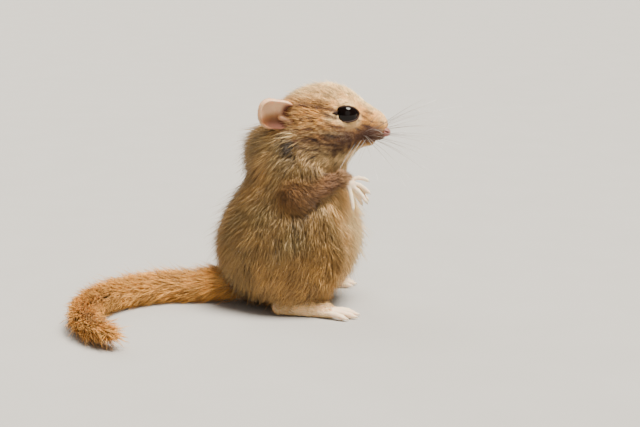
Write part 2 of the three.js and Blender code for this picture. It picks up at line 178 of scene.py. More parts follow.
# %% [markdown]
# ## Eyes, limbs and tail have places of their own
# Nearly all are the places of the solids, so each part sits where they carry it. The eye, the ear and the
# near palm follow the photograph instead and lie up to half a millimetre off.

# %% Places shared with the solids
EYE_PLACE = (7.3, 5.1, 1.2)
EYE_RADIUS = 2.55
EYE_WIDE, EYE_TALL = 84, 39  # degrees from the middle of the opening to its corner and to its lids
NOSE_TIP = np.array([15.5, 0, -1.6])
ARMS = {
    "right": {"shoulder": (4.4, -7.4, 29.8), "elbow": (2.8, -10, 26.6), "wrist": (12, -8.6, 29.2)},
    "left": {"shoulder": (4.4, 7.4, 29), "elbow": (2.9, 10, 24.6), "wrist": (12.6, 7.4, 25.8)},
}
PALM_REACH = {"right": (2.0, 0.1, -1.1), "left": (2, -1.1, -1.2)}
FINGER_REACH = {
    "right": [(0.22, -0.2, -0.95), (0.77, -0.12, -0.63), (0.93, 0.06, -0.36), (0.97, 0.18, 0.1)],
    "left": [(0.62, 0.32, -0.72), (0.8, 0.05, -0.62), (0.84, -0.2, -0.52), (0.84, -0.46, -0.25)],
}
FINGER_LENGTH = 3.4
FINGER_SHARES = (0.92, 1.05, 1.02, 0.88)
TIP_LENGTH = 1.2  # what the claw's joint adds to each finger and toe
HEEL_PLACE = (-1, 11.2, 1.7)
FOOT_TURN = 9  # degrees outwards
FOOT_LENGTH, FOOT_BALL = 16.5, 0.62  # and the share of it at which the toes begin
# degrees that each toe turns outwards, its length, its place across the foot and how far back it begins
TOES = [
    (-26, 2.6, -1.5, 1.2),
    (-13, 5, -1.25, 0),
    (-3, 5.8, -0.4, -0.3),
    (7, 5.7, 0.5, -0.3),
    (19, 4.9, 1.35, 0.3),
]
TAIL_ROOT = (-11.5, 0.5, 4.6)
TAIL_LENGTH, TAIL_STRAIGHT = 63, 9
TAIL_BEND, TAIL_REST = 21, 3.35  # radius of its curve on the floor, height of its middle line


def unit(v):
    v = np.asarray(v, float)
    return v / np.maximum(np.linalg.norm(v, axis=-1, keepdims=True), 1e-9)


def finger_places(side, n):
    reach = unit(FINGER_REACH[side][n])
    length = FINGER_LENGTH * FINGER_SHARES[n] + TIP_LENGTH
    root = np.add(ARMS[side]["wrist"], PALM_REACH[side]) + (-0.2, (n - 1.5) * 0.55, (n - 1.5) * 0.3)
    places = []
    for t in (0, 0.3, 0.55, 0.82, 1):
        arch = 0.55 * math.sin(math.pi * t) - 0.35 * t**3
        places.append(root + reach * length * t + (0, 0, arch))
    return places


def foot_forwards(side):
    return unit((1, math.tan(math.radians(FOOT_TURN)) * SIDES[side], 0))


def foot_point(side, along, height):
    return to_side(HEEL_PLACE, side) * (1, 1, 0) + foot_forwards(side) * along + (0, 0, height)


def toe_places(side, n):
    turn_out, length, across, back = TOES[n]
    forwards = foot_forwards(side)
    outwards = np.array([-forwards[1], forwards[0], 0]) * SIDES[side]
    root = foot_point(side, FOOT_LENGTH * FOOT_BALL - back - 0.6, 0) + outwards * across
    angle = math.radians(turn_out)
    reach = forwards * math.cos(angle) + outwards * math.sin(angle)
    places = []
    for t in (0, 0.35, 0.6, 0.82, 1):
        height = 1.05 - 0.5 * t + 0.3 * math.sin(math.pi * t)
        places.append(root + reach * (length + TIP_LENGTH) * t + (0, 0, height))
    return places


def tail_point(along):
    if along < TAIL_STRAIGHT:
        t = along / TAIL_STRAIGHT
        return np.array([TAIL_ROOT[0] - along, TAIL_ROOT[1], TAIL_ROOT[2] + (TAIL_REST - TAIL_ROOT[2]) * t])
    bend = (along - TAIL_STRAIGHT) / TAIL_BEND
    x = TAIL_ROOT[0] - TAIL_STRAIGHT - TAIL_BEND * math.sin(bend)
    return np.array([x, TAIL_ROOT[1] - TAIL_BEND * (1 - math.cos(bend)), TAIL_REST])


TAIL_LINE = np.array([tail_point(s) for s in np.linspace(-4, TAIL_LENGTH - 1.6, 72)])
print("finger tips", [np.round(finger_places("right", n)[-1], 1).tolist() for n in range(4)])

# %% [markdown]
# ## One skin
# Each mass has a depth of coat over it: deep on the trunk, thin on the face and next to nothing on the paws.
# The eyelids are thin shells on the eyeballs with an almond opening cut through them.

# %% Fields of the skin
def near_tail(p):
    gaps = np.linalg.norm(p[:, None, :] - TAIL_LINE[None], axis=2)
    nearest = gaps.argmin(1)
    return gaps[np.arange(len(p)), nearest], nearest / (len(TAIL_LINE) - 1)


def tail_core(p):
    gap, t = near_tail(p)
    return gap - (2.1 - 0.9 * t) * np.sqrt(np.maximum(0.05, 1 - t**6))


def eye_axes(side):
    out = unit(to_side((0.22, 1, 0.1), side))
    forwards = unit(np.cross(np.cross(out, to_side((1, 0, 0.12), side)), out))
    return out, forwards, np.cross(out, forwards) * -SIDES[side]


def almond(side):
    """Below zero where a direction from the eye's middle looks out through the lids."""
    out, forwards, up = eye_axes(side)
    centre = to_side(EYE_PLACE, side)

    def field(p):
        d = p - centre
        reach = np.linalg.norm(d, axis=1) + 1e-6
        a = np.arctan2(d @ forwards, d @ out) / math.radians(EYE_WIDE)
        b = np.arcsin(np.clip(d @ up / reach, -1, 1)) / math.radians(EYE_TALL)
        opening = np.abs(b) - np.power(np.maximum(1 - a * a, 0), 0.65)
        shut = np.where(np.abs(a) > 1, 0.6, opening)
        return np.where(d @ out > -0.3, shut * reach * 0.7, 2.0)

    return field


def lid_shell(side):
    centre = to_side(EYE_PLACE, side)
    opening = almond(side)
    return lambda p: np.maximum(np.linalg.norm(p - centre, axis=1) - EYE_RADIUS - 0.22, -opening(p))


EAR_PLACE = (-7.2, 8.2, -0.35)
EAR_RADII = (4.25, 2.1, 3.4)
EAR_TURN, EAR_LEAN = 28, 12


def ear_axes(side):
    sign = SIDES[side]
    lean = Euler((math.radians(-EAR_LEAN * sign), 0, 0)).to_matrix()
    turn = Euler((0, 0, math.radians(-EAR_TURN * sign))).to_matrix()
    return np.array(turn @ lean)


def to_ear(p, side):
    """From the head's frame to the ear's own: x forwards, y out, z up."""
    return ((p - to_side(EAR_PLACE, side)) @ ear_axes(side)) * (1, SIDES[side], 1)


ear_canal = joined(
    [ellipsoid((3.1, 0.5, 0.9), (1.7, 1.5, 1.15)), limb((3.6, 1.2, 0.4), (5.2, 2.2, -0.7), 0.75, 0.45)], 0.5
)
ear_hollow = ellipsoid((0.15, 1.4, 0.05), (EAR_RADII[0] - 0.3, 2.35, EAR_RADII[2] - 0.3))


def braincase(p):
    bare = joined(
        [
            ellipsoid((1, 0, -0.1), (9.8, 8.7, 7.7)),
            ellipsoid((5, 0, -0.6), (7.6, 6.7, 6.4), -18),
            ellipsoid((2.4, 4.4, -3.4), (6.6, 4.3, 4.6)),
            ellipsoid((2.4, -4.4, -3.4), (6.6, 4.3, 4.6)),
        ],
        3,
    )(p)
    return bare + 0.6 + 1.3 * smoothstep(6, -5, p[:, 0])


snout = joined(
    [
        ellipsoid((11.4, 0, 0), (4.35, 3.05, 3.25), -15),
        ellipsoid((12.6, 1.75, -2.1), (2.6, 1.8, 1.45)),
        ellipsoid((12.6, -1.75, -2.1), (2.6, 1.8, 1.45)),
    ],
    1.2,
)
jaw = limb((4.8, 0, -3.7), (12.1, 0, -3.75), 3.0, 1.1)


def mouth_line(p):
    q = mirrored(p)
    front = limb((15.0, 0, -3.3), (12.8, 1.9, -3.75), 0.2, 0.24)(q)
    return np.minimum(front, limb((12.8, 1.9, -3.75), (9.9, 3.3, -3.6), 0.24, 0.14)(q))


def head_skin(p):
    total = smooth_min(braincase(p), snout(p), 2.5)
    total = smooth_min(total, jaw(p), 0.7)
    for side in SIDES:
        total = smooth_min(total, lid_shell(side)(p), 0.6)
        total = np.maximum(total, EYE_RADIUS - 0.02 - np.linalg.norm(p - to_side(EYE_PLACE, side), axis=1))
        total = smooth_max(total, -ear_canal(to_ear(p, side)), 0.4)
    return smooth_max(total, -mouth_line(p), 0.25)


def chain(places, radii):
    return joined([limb(a, b, ra, rb) for a, b, ra, rb in zip(places, places[1:], radii, radii[1:])], 0.15)


trunk = joined(
    [
        ellipsoid((3, 0, 26), (11.2, 10.8, 9.5)),
        ellipsoid((3.4, 0, 16.4), (12.8, 12.8, 11.8)),
        ellipsoid((-1, 0, 12.3), (13.8, 13.2, 13)),
    ],
    9,
)
# name, field, how softly it joins what came before, depth of coat, box it matters in
MASSES = [
    ("torso", trunk, 4, 3.0, (-20, -20, -2, 22, 20, 44)),
    ("neck", ellipsoid((3.1, 0, 34.6), (11.2, 9.4, 8)), 8, 2.4, (-14, -16, 20, 20, 16, 50)),
    ("head", in_head(head_skin), 5.5, 0.0, (-12, -16, 26, 28, 16, 56)),
    ("tail", tail_core, 2, 0.0, (-46, -46, -2, -4, 8, 12)),
]
for side in SIDES:
    sign = SIDES[side]
    low, high = (-20, 0) if sign < 0 else (0, 20)
    thigh = joined(
        [
            ellipsoid(to_side((3.6, 10.2, 10.2), side), (9.6, 5.3, 8), 26),
            limb(to_side((7, 11.2, 7.4), side), to_side((0.5, 11.2, 4.2), side), 3.6, 2.5),
        ],
        3,
    )
    arm = ARMS[side]
    upperarm = limb(arm["shoulder"], arm["elbow"], 4, 3.3)
    foreleg = limb(arm["elbow"], arm["wrist"], 3, 1.85)
    knuckles = np.add(arm["wrist"], PALM_REACH[side])
    hand = [limb(arm["wrist"], knuckles, 1.15, 1.3)]
    hand += [chain(finger_places(side, n), (0.5, 0.41, 0.44, 0.41, 0.34)) for n in range(4)]
    foot = [
        limb(to_side(HEEL_PLACE, side), foot_point(side, 6, 1.6), 1.55, 1.6),
        limb(foot_point(side, 5, 1.6), foot_point(side, 10, 1.2), 1.6, 1.75),
    ]
    foot += [chain(toe_places(side, n), (0.7, 0.6, 0.62, 0.6, 0.28)) for n in range(5)]
    MASSES += [
        ("thigh_" + side, thigh, 3, 2.1, (-12, low, -4, 20, high, 24)),
        ("upperarm_" + side, upperarm, 4, 2.1, (-6, low, 16, 18, high, 38)),
        ("foreleg_" + side, foreleg, 2.5, 1.1, (-6, low, 16, 18, high, 38)),
        ("forepaw_" + side, joined(hand, 0.25), 0.8, 0.0, (8, low, 17, 24, high, 34)),
        ("hindfoot_" + side, joined(foot, 0.5), 0.8, 0.0, (-6, low, -2, 22, high, 8)),
    ]


def skin_field(p):
    total = np.full(len(p), 9.0)
    for _, field, blend, depth, box in MASSES:
        near = np.flatnonzero(((p > box[:3]) & (p < box[3:])).all(1))
        if len(near):
            total[near] = smooth_min(total[near], field(p[near]) + depth, blend)
    return np.maximum(total, 0.12 - p[:, 2])  # the floor presses the underside flat


print("masses:", [mass[0] for mass in MASSES])

# %% [markdown]
# ## From field to mesh
# Metaballs or a voxel remesh could turn the masses into a mesh, but they can't be finer on the face than on
# the rump. A grid whose lines stand closer round the head, with one vertex in each cell that the surface
# crosses, gives even squares where they are needed.

# %% Surface of a field
def surface(field, xs, ys, zs):
    """Vertices and faces of four where a field is zero, one vertex in each cell that it crosses."""
    axes = (xs, ys, zs)
    shape = tuple(len(a) for a in axes)
    grid = np.stack(np.meshgrid(*axes, indexing="ij"), -1).reshape(-1, 3)
    values = np.concatenate([field(part) for part in np.array_split(grid, 24)]).reshape(shape)
    for axis in range(3):
        rim = [slice(None)] * 3
        for end in (0, -1):
            rim[axis] = end
            values[tuple(rim)] = 1.0
    cells, points, rings = [], [], []
    steps = np.eye(3, dtype=int)
    for axis in range(3):
        ahead = np.roll(values, -1, axis)
        crossed = (values < 0) != (ahead < 0)
        lower = np.argwhere(crossed)
        lower = lower[lower[:, axis] < shape[axis] - 1]
        i, j, k = lower.T
        va, vb = values[i, j, k], ahead[i, j, k]
        t = va / (va - vb)
        place = np.stack([axes[n][lower[:, n]] for n in range(3)], 1)
        upper = axes[axis][lower[:, axis] + 1]
        place[:, axis] += t * (upper - place[:, axis])
        u, v = steps[(axis + 1) % 3], steps[(axis + 2) % 3]
        ring = np.stack([lower - a * u - b * v for a, b in ((1, 1), (0, 1), (0, 0), (1, 0))], 1)
        ring = np.ravel_multi_index(np.moveaxis(ring, 2, 0), shape)
        rings.append(np.where((va < 0)[:, None], ring, ring[:, ::-1]))
        cells.append(ring.ravel())
        points.append(np.repeat(place, 4, 0))
    rings = np.concatenate(rings)
    ids, where = np.unique(np.concatenate(cells), return_inverse=True)
    points = np.concatenate(points)
    counts = np.bincount(where)
    vertices = np.stack([np.bincount(where, points[:, n]) / counts for n in range(3)], 1)
    return settled(field, vertices, 2), np.searchsorted(ids, rings)


def slope_of(field, p, reach=0.03):
    return np.stack([(field(p + step) - field(p - step)) / (2 * reach) for step in np.eye(3) * reach], 1)


def settled(field, p, steps):
    """Points moved on to the surface of a field."""
    for _ in range(steps):
        slope = slope_of(field, p)
        p = p - (field(p) / np.maximum((slope * slope).sum(1), 0.3))[:, None] * slope
    return p


def spaced(*stretches):
    """Grid lines along one axis, from (start, end, step) for each stretch."""
    parts = [np.linspace(a, b, max(1, round((b - a) / step)), endpoint=False) for a, b, step in stretches]
    return np.append(np.concatenate(parts), stretches[-1][1])


skin_points, skin_faces = surface(
    skin_field,
    spaced((-45, -14, 0.9), (-14, -5, 0.5), (-5, 24.5, 0.27)),
    spaced((-44, -16, 0.9), (-16, 16, 0.27)),
    spaced((-0.3, 4, 0.3), (4, 21, 0.6), (21, 52, 0.27)),
)
print("skin:", len(skin_points), "vertices", len(skin_faces), "faces")

# %% [markdown]
# ## Ears
# An ear is a thin bowl of skin with a fold and an opening in front, which painted shade makes dark. A bent
# plane would have no thickness, so each ear is a hollowed mass, on a grid fine enough for its rim.

# %% Ears
def ear_field(side):
    """In the ear's own frame: x forwards, y out, z up."""

    def field(p):
        q = p * (1, SIDES[side], 1)
        angle = np.arctan2(q[:, 2], q[:, 0])
        flare = 1 + 0.045 * np.cos(4 * angle - 3.14) + 0.03 * np.sin(3 * angle + 0.6)
        q = q / flare[:, None]
        bowl = ellipsoid((0, 0, 0), EAR_RADII)(q)
        shell = smooth_max(bowl, -ear_hollow(q), 0.2)
        ridge = limb((1.2, -0.2, -0.7), (3.7, 0.5, -1.1), 0.2, 0.4)(q)
        return smooth_max(smooth_min(shell, ridge, 1.2), -ear_canal(q), 0.4)

    return field


def ear_mesh(side):
    grid = (spaced((-5, 5, 0.16)), spaced((-3, 3, 0.14)), spaced((-4.4, 4.4, 0.16)))
    points, faces = surface(ear_field(side), *grid)
    return head_to_world(points @ ear_axes(side).T + to_side(EAR_PLACE, side)), faces


ears = {side: ear_mesh(side) for side in SIDES}
print("ear:", [len(ears[side][0]) for side in SIDES])

# %% [markdown]
# ## Markings
# The coat is golden on the crown, rusty under the eyes, buff and a little olive on the flanks, slate grey
# at its roots and cream on the throat, belly and beside the eyes. Light and shade are painted in as well: a
# pale painted highlight on the crown, the bridge and the shoulder's wisps, and painted shade, dark and ruddy,
# round the mouth, on the cheeks, the forearms and the ears, with the olive made darker by it. Skin and tufts
# read the same masks, worked out from a point's place, so a tuft has the colour of the skin that it grows
# from.

# %% Weights of the body's regions
FACE = ("head", "muzzle", "jaw")
REGIONS = ["torso", "neck", *FACE, "tail", "thigh", "foreleg", "forepaw", "hindfoot", "ear", "upperarm"]


def share_of(share, *regions):
    """How much some regions have to do with each point."""
    return share[:, [REGIONS.index(name) for name in regions]].sum(1)


def past_wrist(p):
    """How far a point is beyond the wrist of its own side, along the palm."""
    return sum(((p - ARMS[side]["wrist"]) @ unit(PALM_REACH[side])) * on_side(p, side) for side in SIDES)


def weights(p, soft=0.9):
    """How much each region has to do with a point, summing to one."""
    gaps = {name: np.full(len(p), 30.0) for name in REGIONS}
    for name, field, _, depth, box in MASSES:
        region = name.split("_")[0]
        near = np.flatnonzero(((p > box[:3]) & (p < box[3:])).all(1))
        if region == "head" or not len(near):
            continue
        gaps[region][near] = np.minimum(gaps[region][near], field(p[near]) + depth)
    q = world_to_head(p)
    gaps["head"], gaps["muzzle"], gaps["jaw"] = braincase(q), snout(q), jaw(q)
    table = np.stack([gaps[name] for name in REGIONS], 1)
    shares = np.exp(-(table - table.min(1, keepdims=True)) / soft)
    shares /= shares.sum(1, keepdims=True)
    # The fur of the forearm runs on past the wrist
    sleeve = 0.75 * share_of(shares, "forepaw") * smoothstep(1.5, 0.6, past_wrist(p))
    shares[:, REGIONS.index("foreleg")] += sleeve
    shares[:, REGIONS.index("forepaw")] -= sleeve
    return shares


print("regions:", REGIONS)

# %% Masks of the markings
def spot(q, centre, radii):
    return np.exp(-(((q - centre) / radii) ** 2).sum(1))


def waves(p, scale, seed):
    """Soft noise between -1 and 1, from a few crossed waves."""
    rng = np.random.default_rng(seed)
    total = np.zeros(len(p))
    for _ in range(7):
        total += np.sin(p @ rng.normal(size=3) * (2.2 / scale) + rng.uniform(0, 6.28))
    return total / 3.2


PART_PLACES = np.array([(2.4, -9.6, 36.2), (-0.6, -9.8, 36.9)])  # where the fur is parted on the shoulder
# The whitish wisps are partly pale hairs and partly a painted highlight.
WISP_PLACES = np.array([(-1.4, -9.8, 38.6), (1.6, -9.8, 38.6), (-2.0, -10.3, 34.6)])  # where it is whitish

# strength, middle and reach of each patch, in the head's frame and on both sides
FACE_PATCHES = {
    "cream_and_highlight": [
        (0.95, (9.9, 3.7, 0.1), (0.8, 1.6, 1.2)),  # before the eye
        (0.9, (4.9, 6.6, 0.2), (1.0, 2.2, 1.1)),  # behind it
        # painted highlight on the top of the bridge, where the light from above falls
        (0.6, (12, 0, 3), (4, 2.5, 2.2)),  # bridge
        (0.6, (14.6, 0.8, 0.7), (1.6, 1.4, 1.1)),  # above the nose pad
    ],
    "rust_and_shade": [
        (1.1, (7.0, 6, -3.2), (5, 3.4, 2.2)),  # cheek
        # painted shade over the whisker pad
        (0.95, (12, 3.0, -2.2), (3, 2, 1.9)),  # lip pad
        (0.6, (-1, 7.6, -4.6), (4, 3, 2.4)),  # below the ear
    ],
    # on the cheek this darkening is painted shade, not a parting
    "parting_and_shade": [(0.5, (6.8, 6, -3.8), (4.6, 3.4, 2))],  # cheek
    # painted shade: in the crease of the lip, beside the nose pad, over the whisker pad and its whisker
    # roots, and under the cheek
    "maroon_and_shade": [
        (0.9, (13.6, 2.2, -3.1), (2.2, 1.5, 0.95)),  # edge of the lip
        (0.5, (15.4, 1.1, -2.4), (0.9, 0.8, 1)),  # beside the nose pad
        (1.1, (12.8, 2.4, -2.1), (3.0, 2.2, 1.6)),  # lip pad
        (0.5, (13.4, 2.4, -1.4), (1.9, 1.6, 0.8)),  # roots of the whiskers
        (0.85, (4.5, 6, -5.4), (6.4, 3.6, 2.0)),  # lower cheek
    ],
}


def patches(name, side_q):
    return sum(strength * spot(side_q, middle, reach) for strength, middle, reach in FACE_PATCHES[name])


def near_wisps(p):
    return sum(spot(p, place, (2.8, 3, 1.4)) for place in WISP_PLACES)


def markings(p, normal, share):
    """Cream, rust, olive, parted and maroon, each from 0 to 1; cream also holds painted highlight, and rust,
    parting and maroon hold painted shade.
    """
    q = world_to_head(p)
    side_q = mirrored(q)
    ahead, height = q[:, 0], q[:, 2]
    face, body, foreleg = share_of(share, *FACE), share_of(share, "torso", "neck"), share_of(share, "foreleg")
    wobble = 0.12 * waves(p, 3.5, 5)
    streaks = waves(side_q * (0.45, 1, 1.5), 0.8, 8)
    fine_streaks = smoothstep(0.1, 0.5, waves(side_q * (0.35, 1, 1.7), 0.5, 21))

    belly = smoothstep(0.3, 0.95, normal[:, 0] + 2 * wobble) * smoothstep(10, 7, np.abs(p[:, 1])) * body
    chin = smoothstep(-4.2, -6.8, height + wobble * 4) * face * smoothstep(-5, 1, ahead)
    # The crown is paled towards cream as a painted highlight, where the light from above falls.
    crown_highlight = smoothstep(1.8, 4.8, height + wobble * 4) * face
    from_eye = np.linalg.norm(side_q - EYE_PLACE, axis=1) - EYE_RADIUS
    under_lid = smoothstep(1.0, 0.4, from_eye) * smoothstep(0.6, -0.6, height - EYE_PLACE[2]) * face
    cream_and_highlight = belly + chin + 0.7 * crown_highlight + 0.5 * under_lid + patches("cream_and_highlight", side_q) * face
    cream_and_highlight += 0.8 * share_of(share, "jaw") * smoothstep(-3.9, -4.7, height)
    cream_and_highlight += 0.95 * share_of(share, "forepaw") + 0.75 * share_of(share, "hindfoot")
    # whitish wisps on the shoulder, partly pale hairs and partly painted highlight
    cream_and_highlight += 2.4 * near_wisps(p) * smoothstep(-0.1, 0.4, waves(p * (0.4, 1, 1), 0.5, 4))
    cream_and_highlight += 0.4 * smoothstep(0, 0.9, -streaks) * face * smoothstep(11, 6, ahead)

    # The rust on the forearms and the whisker pads is painted shade.
    rust_and_shade = patches("rust_and_shade", side_q) * face + 0.9 * foreleg
    rust_and_shade += 0.9 * smoothstep(0, 0.7, streaks) * face * smoothstep(4.6, 1.4, height)

    nape = smoothstep(0, -8, ahead) * face * smoothstep(5, 1, height)
    olive = body * smoothstep(0.6, 0.1, belly) * (0.85 + wobble) + 0.3 * nape + 0.4 * foreleg
    limbs = 0.95 * share_of(share, "upperarm") + 0.6 * share_of(share, "thigh")
    olive += limbs + 0.2 * share_of(share, "tail")

    near_parting = sum(spot(p, place, (1.9, 4, 1.2)) for place in PART_PLACES)
    parting_and_shade = 1.3 * smoothstep(0.3, 0.55, near_parting + 0.35 * waves(p, 1.1, 9))
    parting_and_shade += patches("parting_and_shade", side_q) * face

    temple = spot(side_q, (0.2, 7.6, 1.8), (4.2, 3.4, 2.2)) * face
    # Painted shade round the mouth, on the lower cheeks and the forearms, with dark streaks on the temples.
    maroon_and_shade = patches("maroon_and_shade", side_q) * face + 0.4 * foreleg + 0.75 * fine_streaks * temple
    maroon_and_shade += 0.5 * smoothstep(0.15, 0.8, streaks) * face * smoothstep(4, 0.6, height)
    # painted shade inside the ears' openings
    maroon_and_shade += 0.9 * np.maximum(*[smoothstep(0.5, -0.2, ear_canal(to_ear(q, side))) for side in SIDES])
    cream_and_highlight = cream_and_highlight * (1 - 0.8 * np.clip(maroon_and_shade, 0, 1))
    return np.clip(np.stack([cream_and_highlight, rust_and_shade, olive, parting_and_shade, maroon_and_shade], 1), 0, 1)


def ear_markings(q):
    """The same masks over the ear, from places in its own frame: paler above, with painted shade that makes
    it darker and ruddier below, in its folds and in its opening.
    """
    inside = smoothstep(0.25, 0.05, np.abs(ear_hollow(q)))
    low = smoothstep(0.9, -1.9, q[:, 2] - 0.2 * q[:, 0])
    # painted shade inside the opening
    deep = smoothstep(1.1, -0.1, ear_canal(q))
    rim = inside * smoothstep(0.84, 0.92, np.hypot(q[:, 0] / EAR_RADII[0], q[:, 2] / EAR_RADII[2]))
    # Lower down, less cream and more rust make the ear darker and ruddier: painted shade.
    cream_and_highlight = np.clip(inside * (0.32 - 0.6 * low) + 0.2 * rim * (1 - 0.6 * low) + 0.25 * (1 - inside), 0, 1)
    rust_and_shade = np.clip(low * (1 - 0.4 * rim) * (0.35 + 0.65 * inside), 0, 1)
    # painted shade in the folds of the bowl
    fold_shade = 0.55 * spot(q, (0.6, 0, -2.6), (2.6, 3, 1)) + 0.5 * spot(q, (2.2, 0, -1.2), (1.3, 3, 1.8))
    blank = np.zeros(len(q))
    return np.stack([cream_and_highlight, rust_and_shade, blank, blank, np.clip(deep + inside * fold_shade, 0, 1)], 1)


print("patches on the face:", {name: len(rows) for name, rows in FACE_PATCHES.items()})

# %% [markdown]
# ## From arrays to objects
# Operators and bmesh add one corner at a time, which is slow for a million of them, so whole arrays are
# handed to each mesh at once.

# %% Mesh from arrays
def as_mesh(name, points, faces):
    """An object from points in millimetres and faces of one size, or a list of such face arrays."""
    mesh = bpy.data.meshes.new(name)
    groups = faces if isinstance(faces, list) else [faces]
    corners = np.concatenate([g.ravel() for g in groups]).astype(np.int32)
    sizes = np.concatenate([np.full(len(g), g.shape[1]) for g in groups])
    mesh.vertices.add(len(points))
    mesh.vertices.foreach_set("co", (np.asarray(points) * MM).astype(np.float32).ravel())
    mesh.loops.add(len(corners))
    mesh.loops.foreach_set("vertex_index", corners)
    mesh.polygons.add(len(sizes))
    mesh.polygons.foreach_set("loop_start", (np.cumsum(sizes) - sizes).astype(np.int32))
    mesh.update(calc_edges=True)
    mesh.polygons.foreach_set("use_smooth", np.full(len(sizes), True))
    piece = bpy.data.objects.new(name, mesh)
    bpy.context.collection.objects.link(piece)
    return piece


def paint(piece, name, values):
    """An attribute with one number, or one colour of four, for each vertex."""
    kind, field = ("FLOAT_COLOR", "color") if values.ndim == 2 else ("FLOAT", "value")
    layer = piece.data.attributes.new(name, kind, "POINT")
    layer.data.foreach_set(field, values.astype(np.float32).ravel())


def finished(piece, material):
    piece.data.materials.append(material)
    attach(piece, "root")
    return piece


def together(parts):
    """Points and faces of several meshes as one, and where the points of each start."""
    starts = np.cumsum([0] + [len(points) for points, _ in parts])
    points = np.concatenate([points for points, _ in parts])
    return points, np.concatenate([faces + start for (_, faces), start in zip(parts, starts)]), starts


def merged(name, parts, material):
    points, faces, _ = together(parts)
    return finished(as_mesh(name, points, faces), material)


print("mesh helpers ready")

# %% [markdown]
# ## Finishes
# Fur takes its colour from the masks. The mixing is the same for the skin and the tufts, so it is one node
# group: it reads the masks and how far along the hair a point is, and puts out one colour.

# %% Node group: coat colour
GOLDEN = (0.84, 0.40, 0.075, 1)
# Rusty brown; on the forearms and whisker pads it serves as painted shade.
RUST_AND_SHADE = (0.19, 0.072, 0.02, 1)
# The buff olive of the flanks, made darker as painted shade.
OLIVE_AND_SHADE = (0.225, 0.15, 0.052, 1)
# Cream; on the crown, the bridge and the shoulder's wisps it is a painted highlight.
CREAM_AND_HIGHLIGHT = (0.98, 0.72, 0.36, 1)
SLATE = (0.055, 0.046, 0.046, 1)
# Dark maroon, mostly painted shade.
MAROON_AND_SHADE = (0.06, 0.02, 0.012, 1)


def new_group(name, inputs, outputs):
    group = bpy.data.node_groups.new(name, "ShaderNodeTree")
    for label, kind, value in inputs:
        group.interface.new_socket(label, in_out="INPUT", socket_type=kind).default_value = value
    for label, kind in outputs:
        group.interface.new_socket(label, in_out="OUTPUT", socket_type=kind)
    return group, group.nodes.new("NodeGroupInput"), group.nodes.new("NodeGroupOutput")


def plug(tree, socket, value):
    """Links a socket to another one or gives it a fixed value."""
    if hasattr(value, "links"):
        tree.links.new(value, socket)
    else:
        socket.default_value = value


def mixed(tree, factor, a, b):
    node = tree.nodes.new("ShaderNodeMix")
    node.data_type = "RGBA"
    for number, value in ((0, factor), (6, a), (7, b)):
        plug(tree, node.inputs[number], value)
    return node.outputs[2]


def maths(tree, operation, a, b, clamp=False):
    node = tree.nodes.new("ShaderNodeMath")
    node.operation, node.use_clamp = operation, clamp
    plug(tree, node.inputs[0], a)
    plug(tree, node.inputs[1], b)
    return node.outputs[0]


def attribute(tree, name):
    node = tree.nodes.new("ShaderNodeAttribute")
    node.attribute_name = name
    return node.outputs


def masks(tree):
    """Sockets of the cream, rust, olive and parted masks, which are painted as one colour. Cream also carries
    a painted highlight, and rust and the parting painted shade.
    """
    marks = attribute(tree, "marks")
    split = tree.nodes.new("ShaderNodeSeparateColor")
    tree.links.new(marks["Color"], split.inputs["Color"])
    return split.outputs[0], split.outputs[1], split.outputs[2], marks["Alpha"]


def noise(tree, scale, detail, stretch=None):
    texture = tree.nodes.new("ShaderNodeTexNoise")
    texture.inputs["Scale"].default_value = scale
    texture.inputs["Detail"].default_value = detail
    place = tree.nodes.new("ShaderNodeTexCoord").outputs["Object"]
    if stretch:
        mapping = tree.nodes.new("ShaderNodeMapping")
        mapping.inputs["Scale"].default_value = stretch
        tree.links.new(place, mapping.inputs["Vector"])
        place = mapping.outputs["Vector"]
    tree.links.new(place, texture.inputs["Vector"])
    return texture.outputs["Fac"]


coat_colour, group_in, group_out = new_group(
    "coat colour", [("Along", "NodeSocketFloat", 0.5)], [("Color", "NodeSocketColor")]
)
cream_and_highlight, rust_and_shade, olive, parting_and_shade = masks(coat_colour)
colour = mixed(coat_colour, olive, GOLDEN, OLIVE_AND_SHADE)
colour = mixed(coat_colour, rust_and_shade, colour, RUST_AND_SHADE)
colour = mixed(coat_colour, cream_and_highlight, colour, CREAM_AND_HIGHLIGHT)
patchy = maths(coat_colour, "MULTIPLY", noise(coat_colour, 900, 3), 0.4)
shade = maths(coat_colour, "ADD", patchy, attribute(coat_colour, "tone")["Fac"])
shade = maths(coat_colour, "ADD", shade, 0.28)
shaded = coat_colour.nodes.new("ShaderNodeVectorMath")
shaded.operation = "SCALE"
coat_colour.links.new(colour, shaded.inputs[0])
coat_colour.links.new(shade, shaded.inputs["Scale"])
rooted = maths(coat_colour, "SUBTRACT", 1.0, group_in.outputs["Along"], clamp=True)
rooted = maths(coat_colour, "POWER", rooted, 2.2)
depth_of_slate = maths(coat_colour, "SUBTRACT", 0.85, maths(coat_colour, "MULTIPLY", cream_and_highlight, 0.6))
rooted = maths(coat_colour, "MULTIPLY", rooted, depth_of_slate)
colour = mixed(coat_colour, rooted, shaded.outputs[0], SLATE)
# Parted fur shows its slate roots; on the cheek this darkening is painted shade.
colour = mixed(coat_colour, maths(coat_colour, "MULTIPLY", parting_and_shade, 0.8), colour, SLATE)
# maroon, mostly painted shade
maroon_and_shade = maths(coat_colour, "MULTIPLY", attribute(coat_colour, "maroon_and_shade")["Fac"], 0.9)
colour = mixed(coat_colour, maroon_and_shade, colour, MAROON_AND_SHADE)
coat_colour.links.new(colour, group_out.inputs["Color"])
print("coat colour nodes:", len(coat_colour.nodes))

# %% [markdown]
# ## Materials
# Wet nose, gloss of the eye, claws and bare paws each have a finish of their own. None is one flat colour: a
# soft noise moves it between two shades, which reads as living skin or horn.

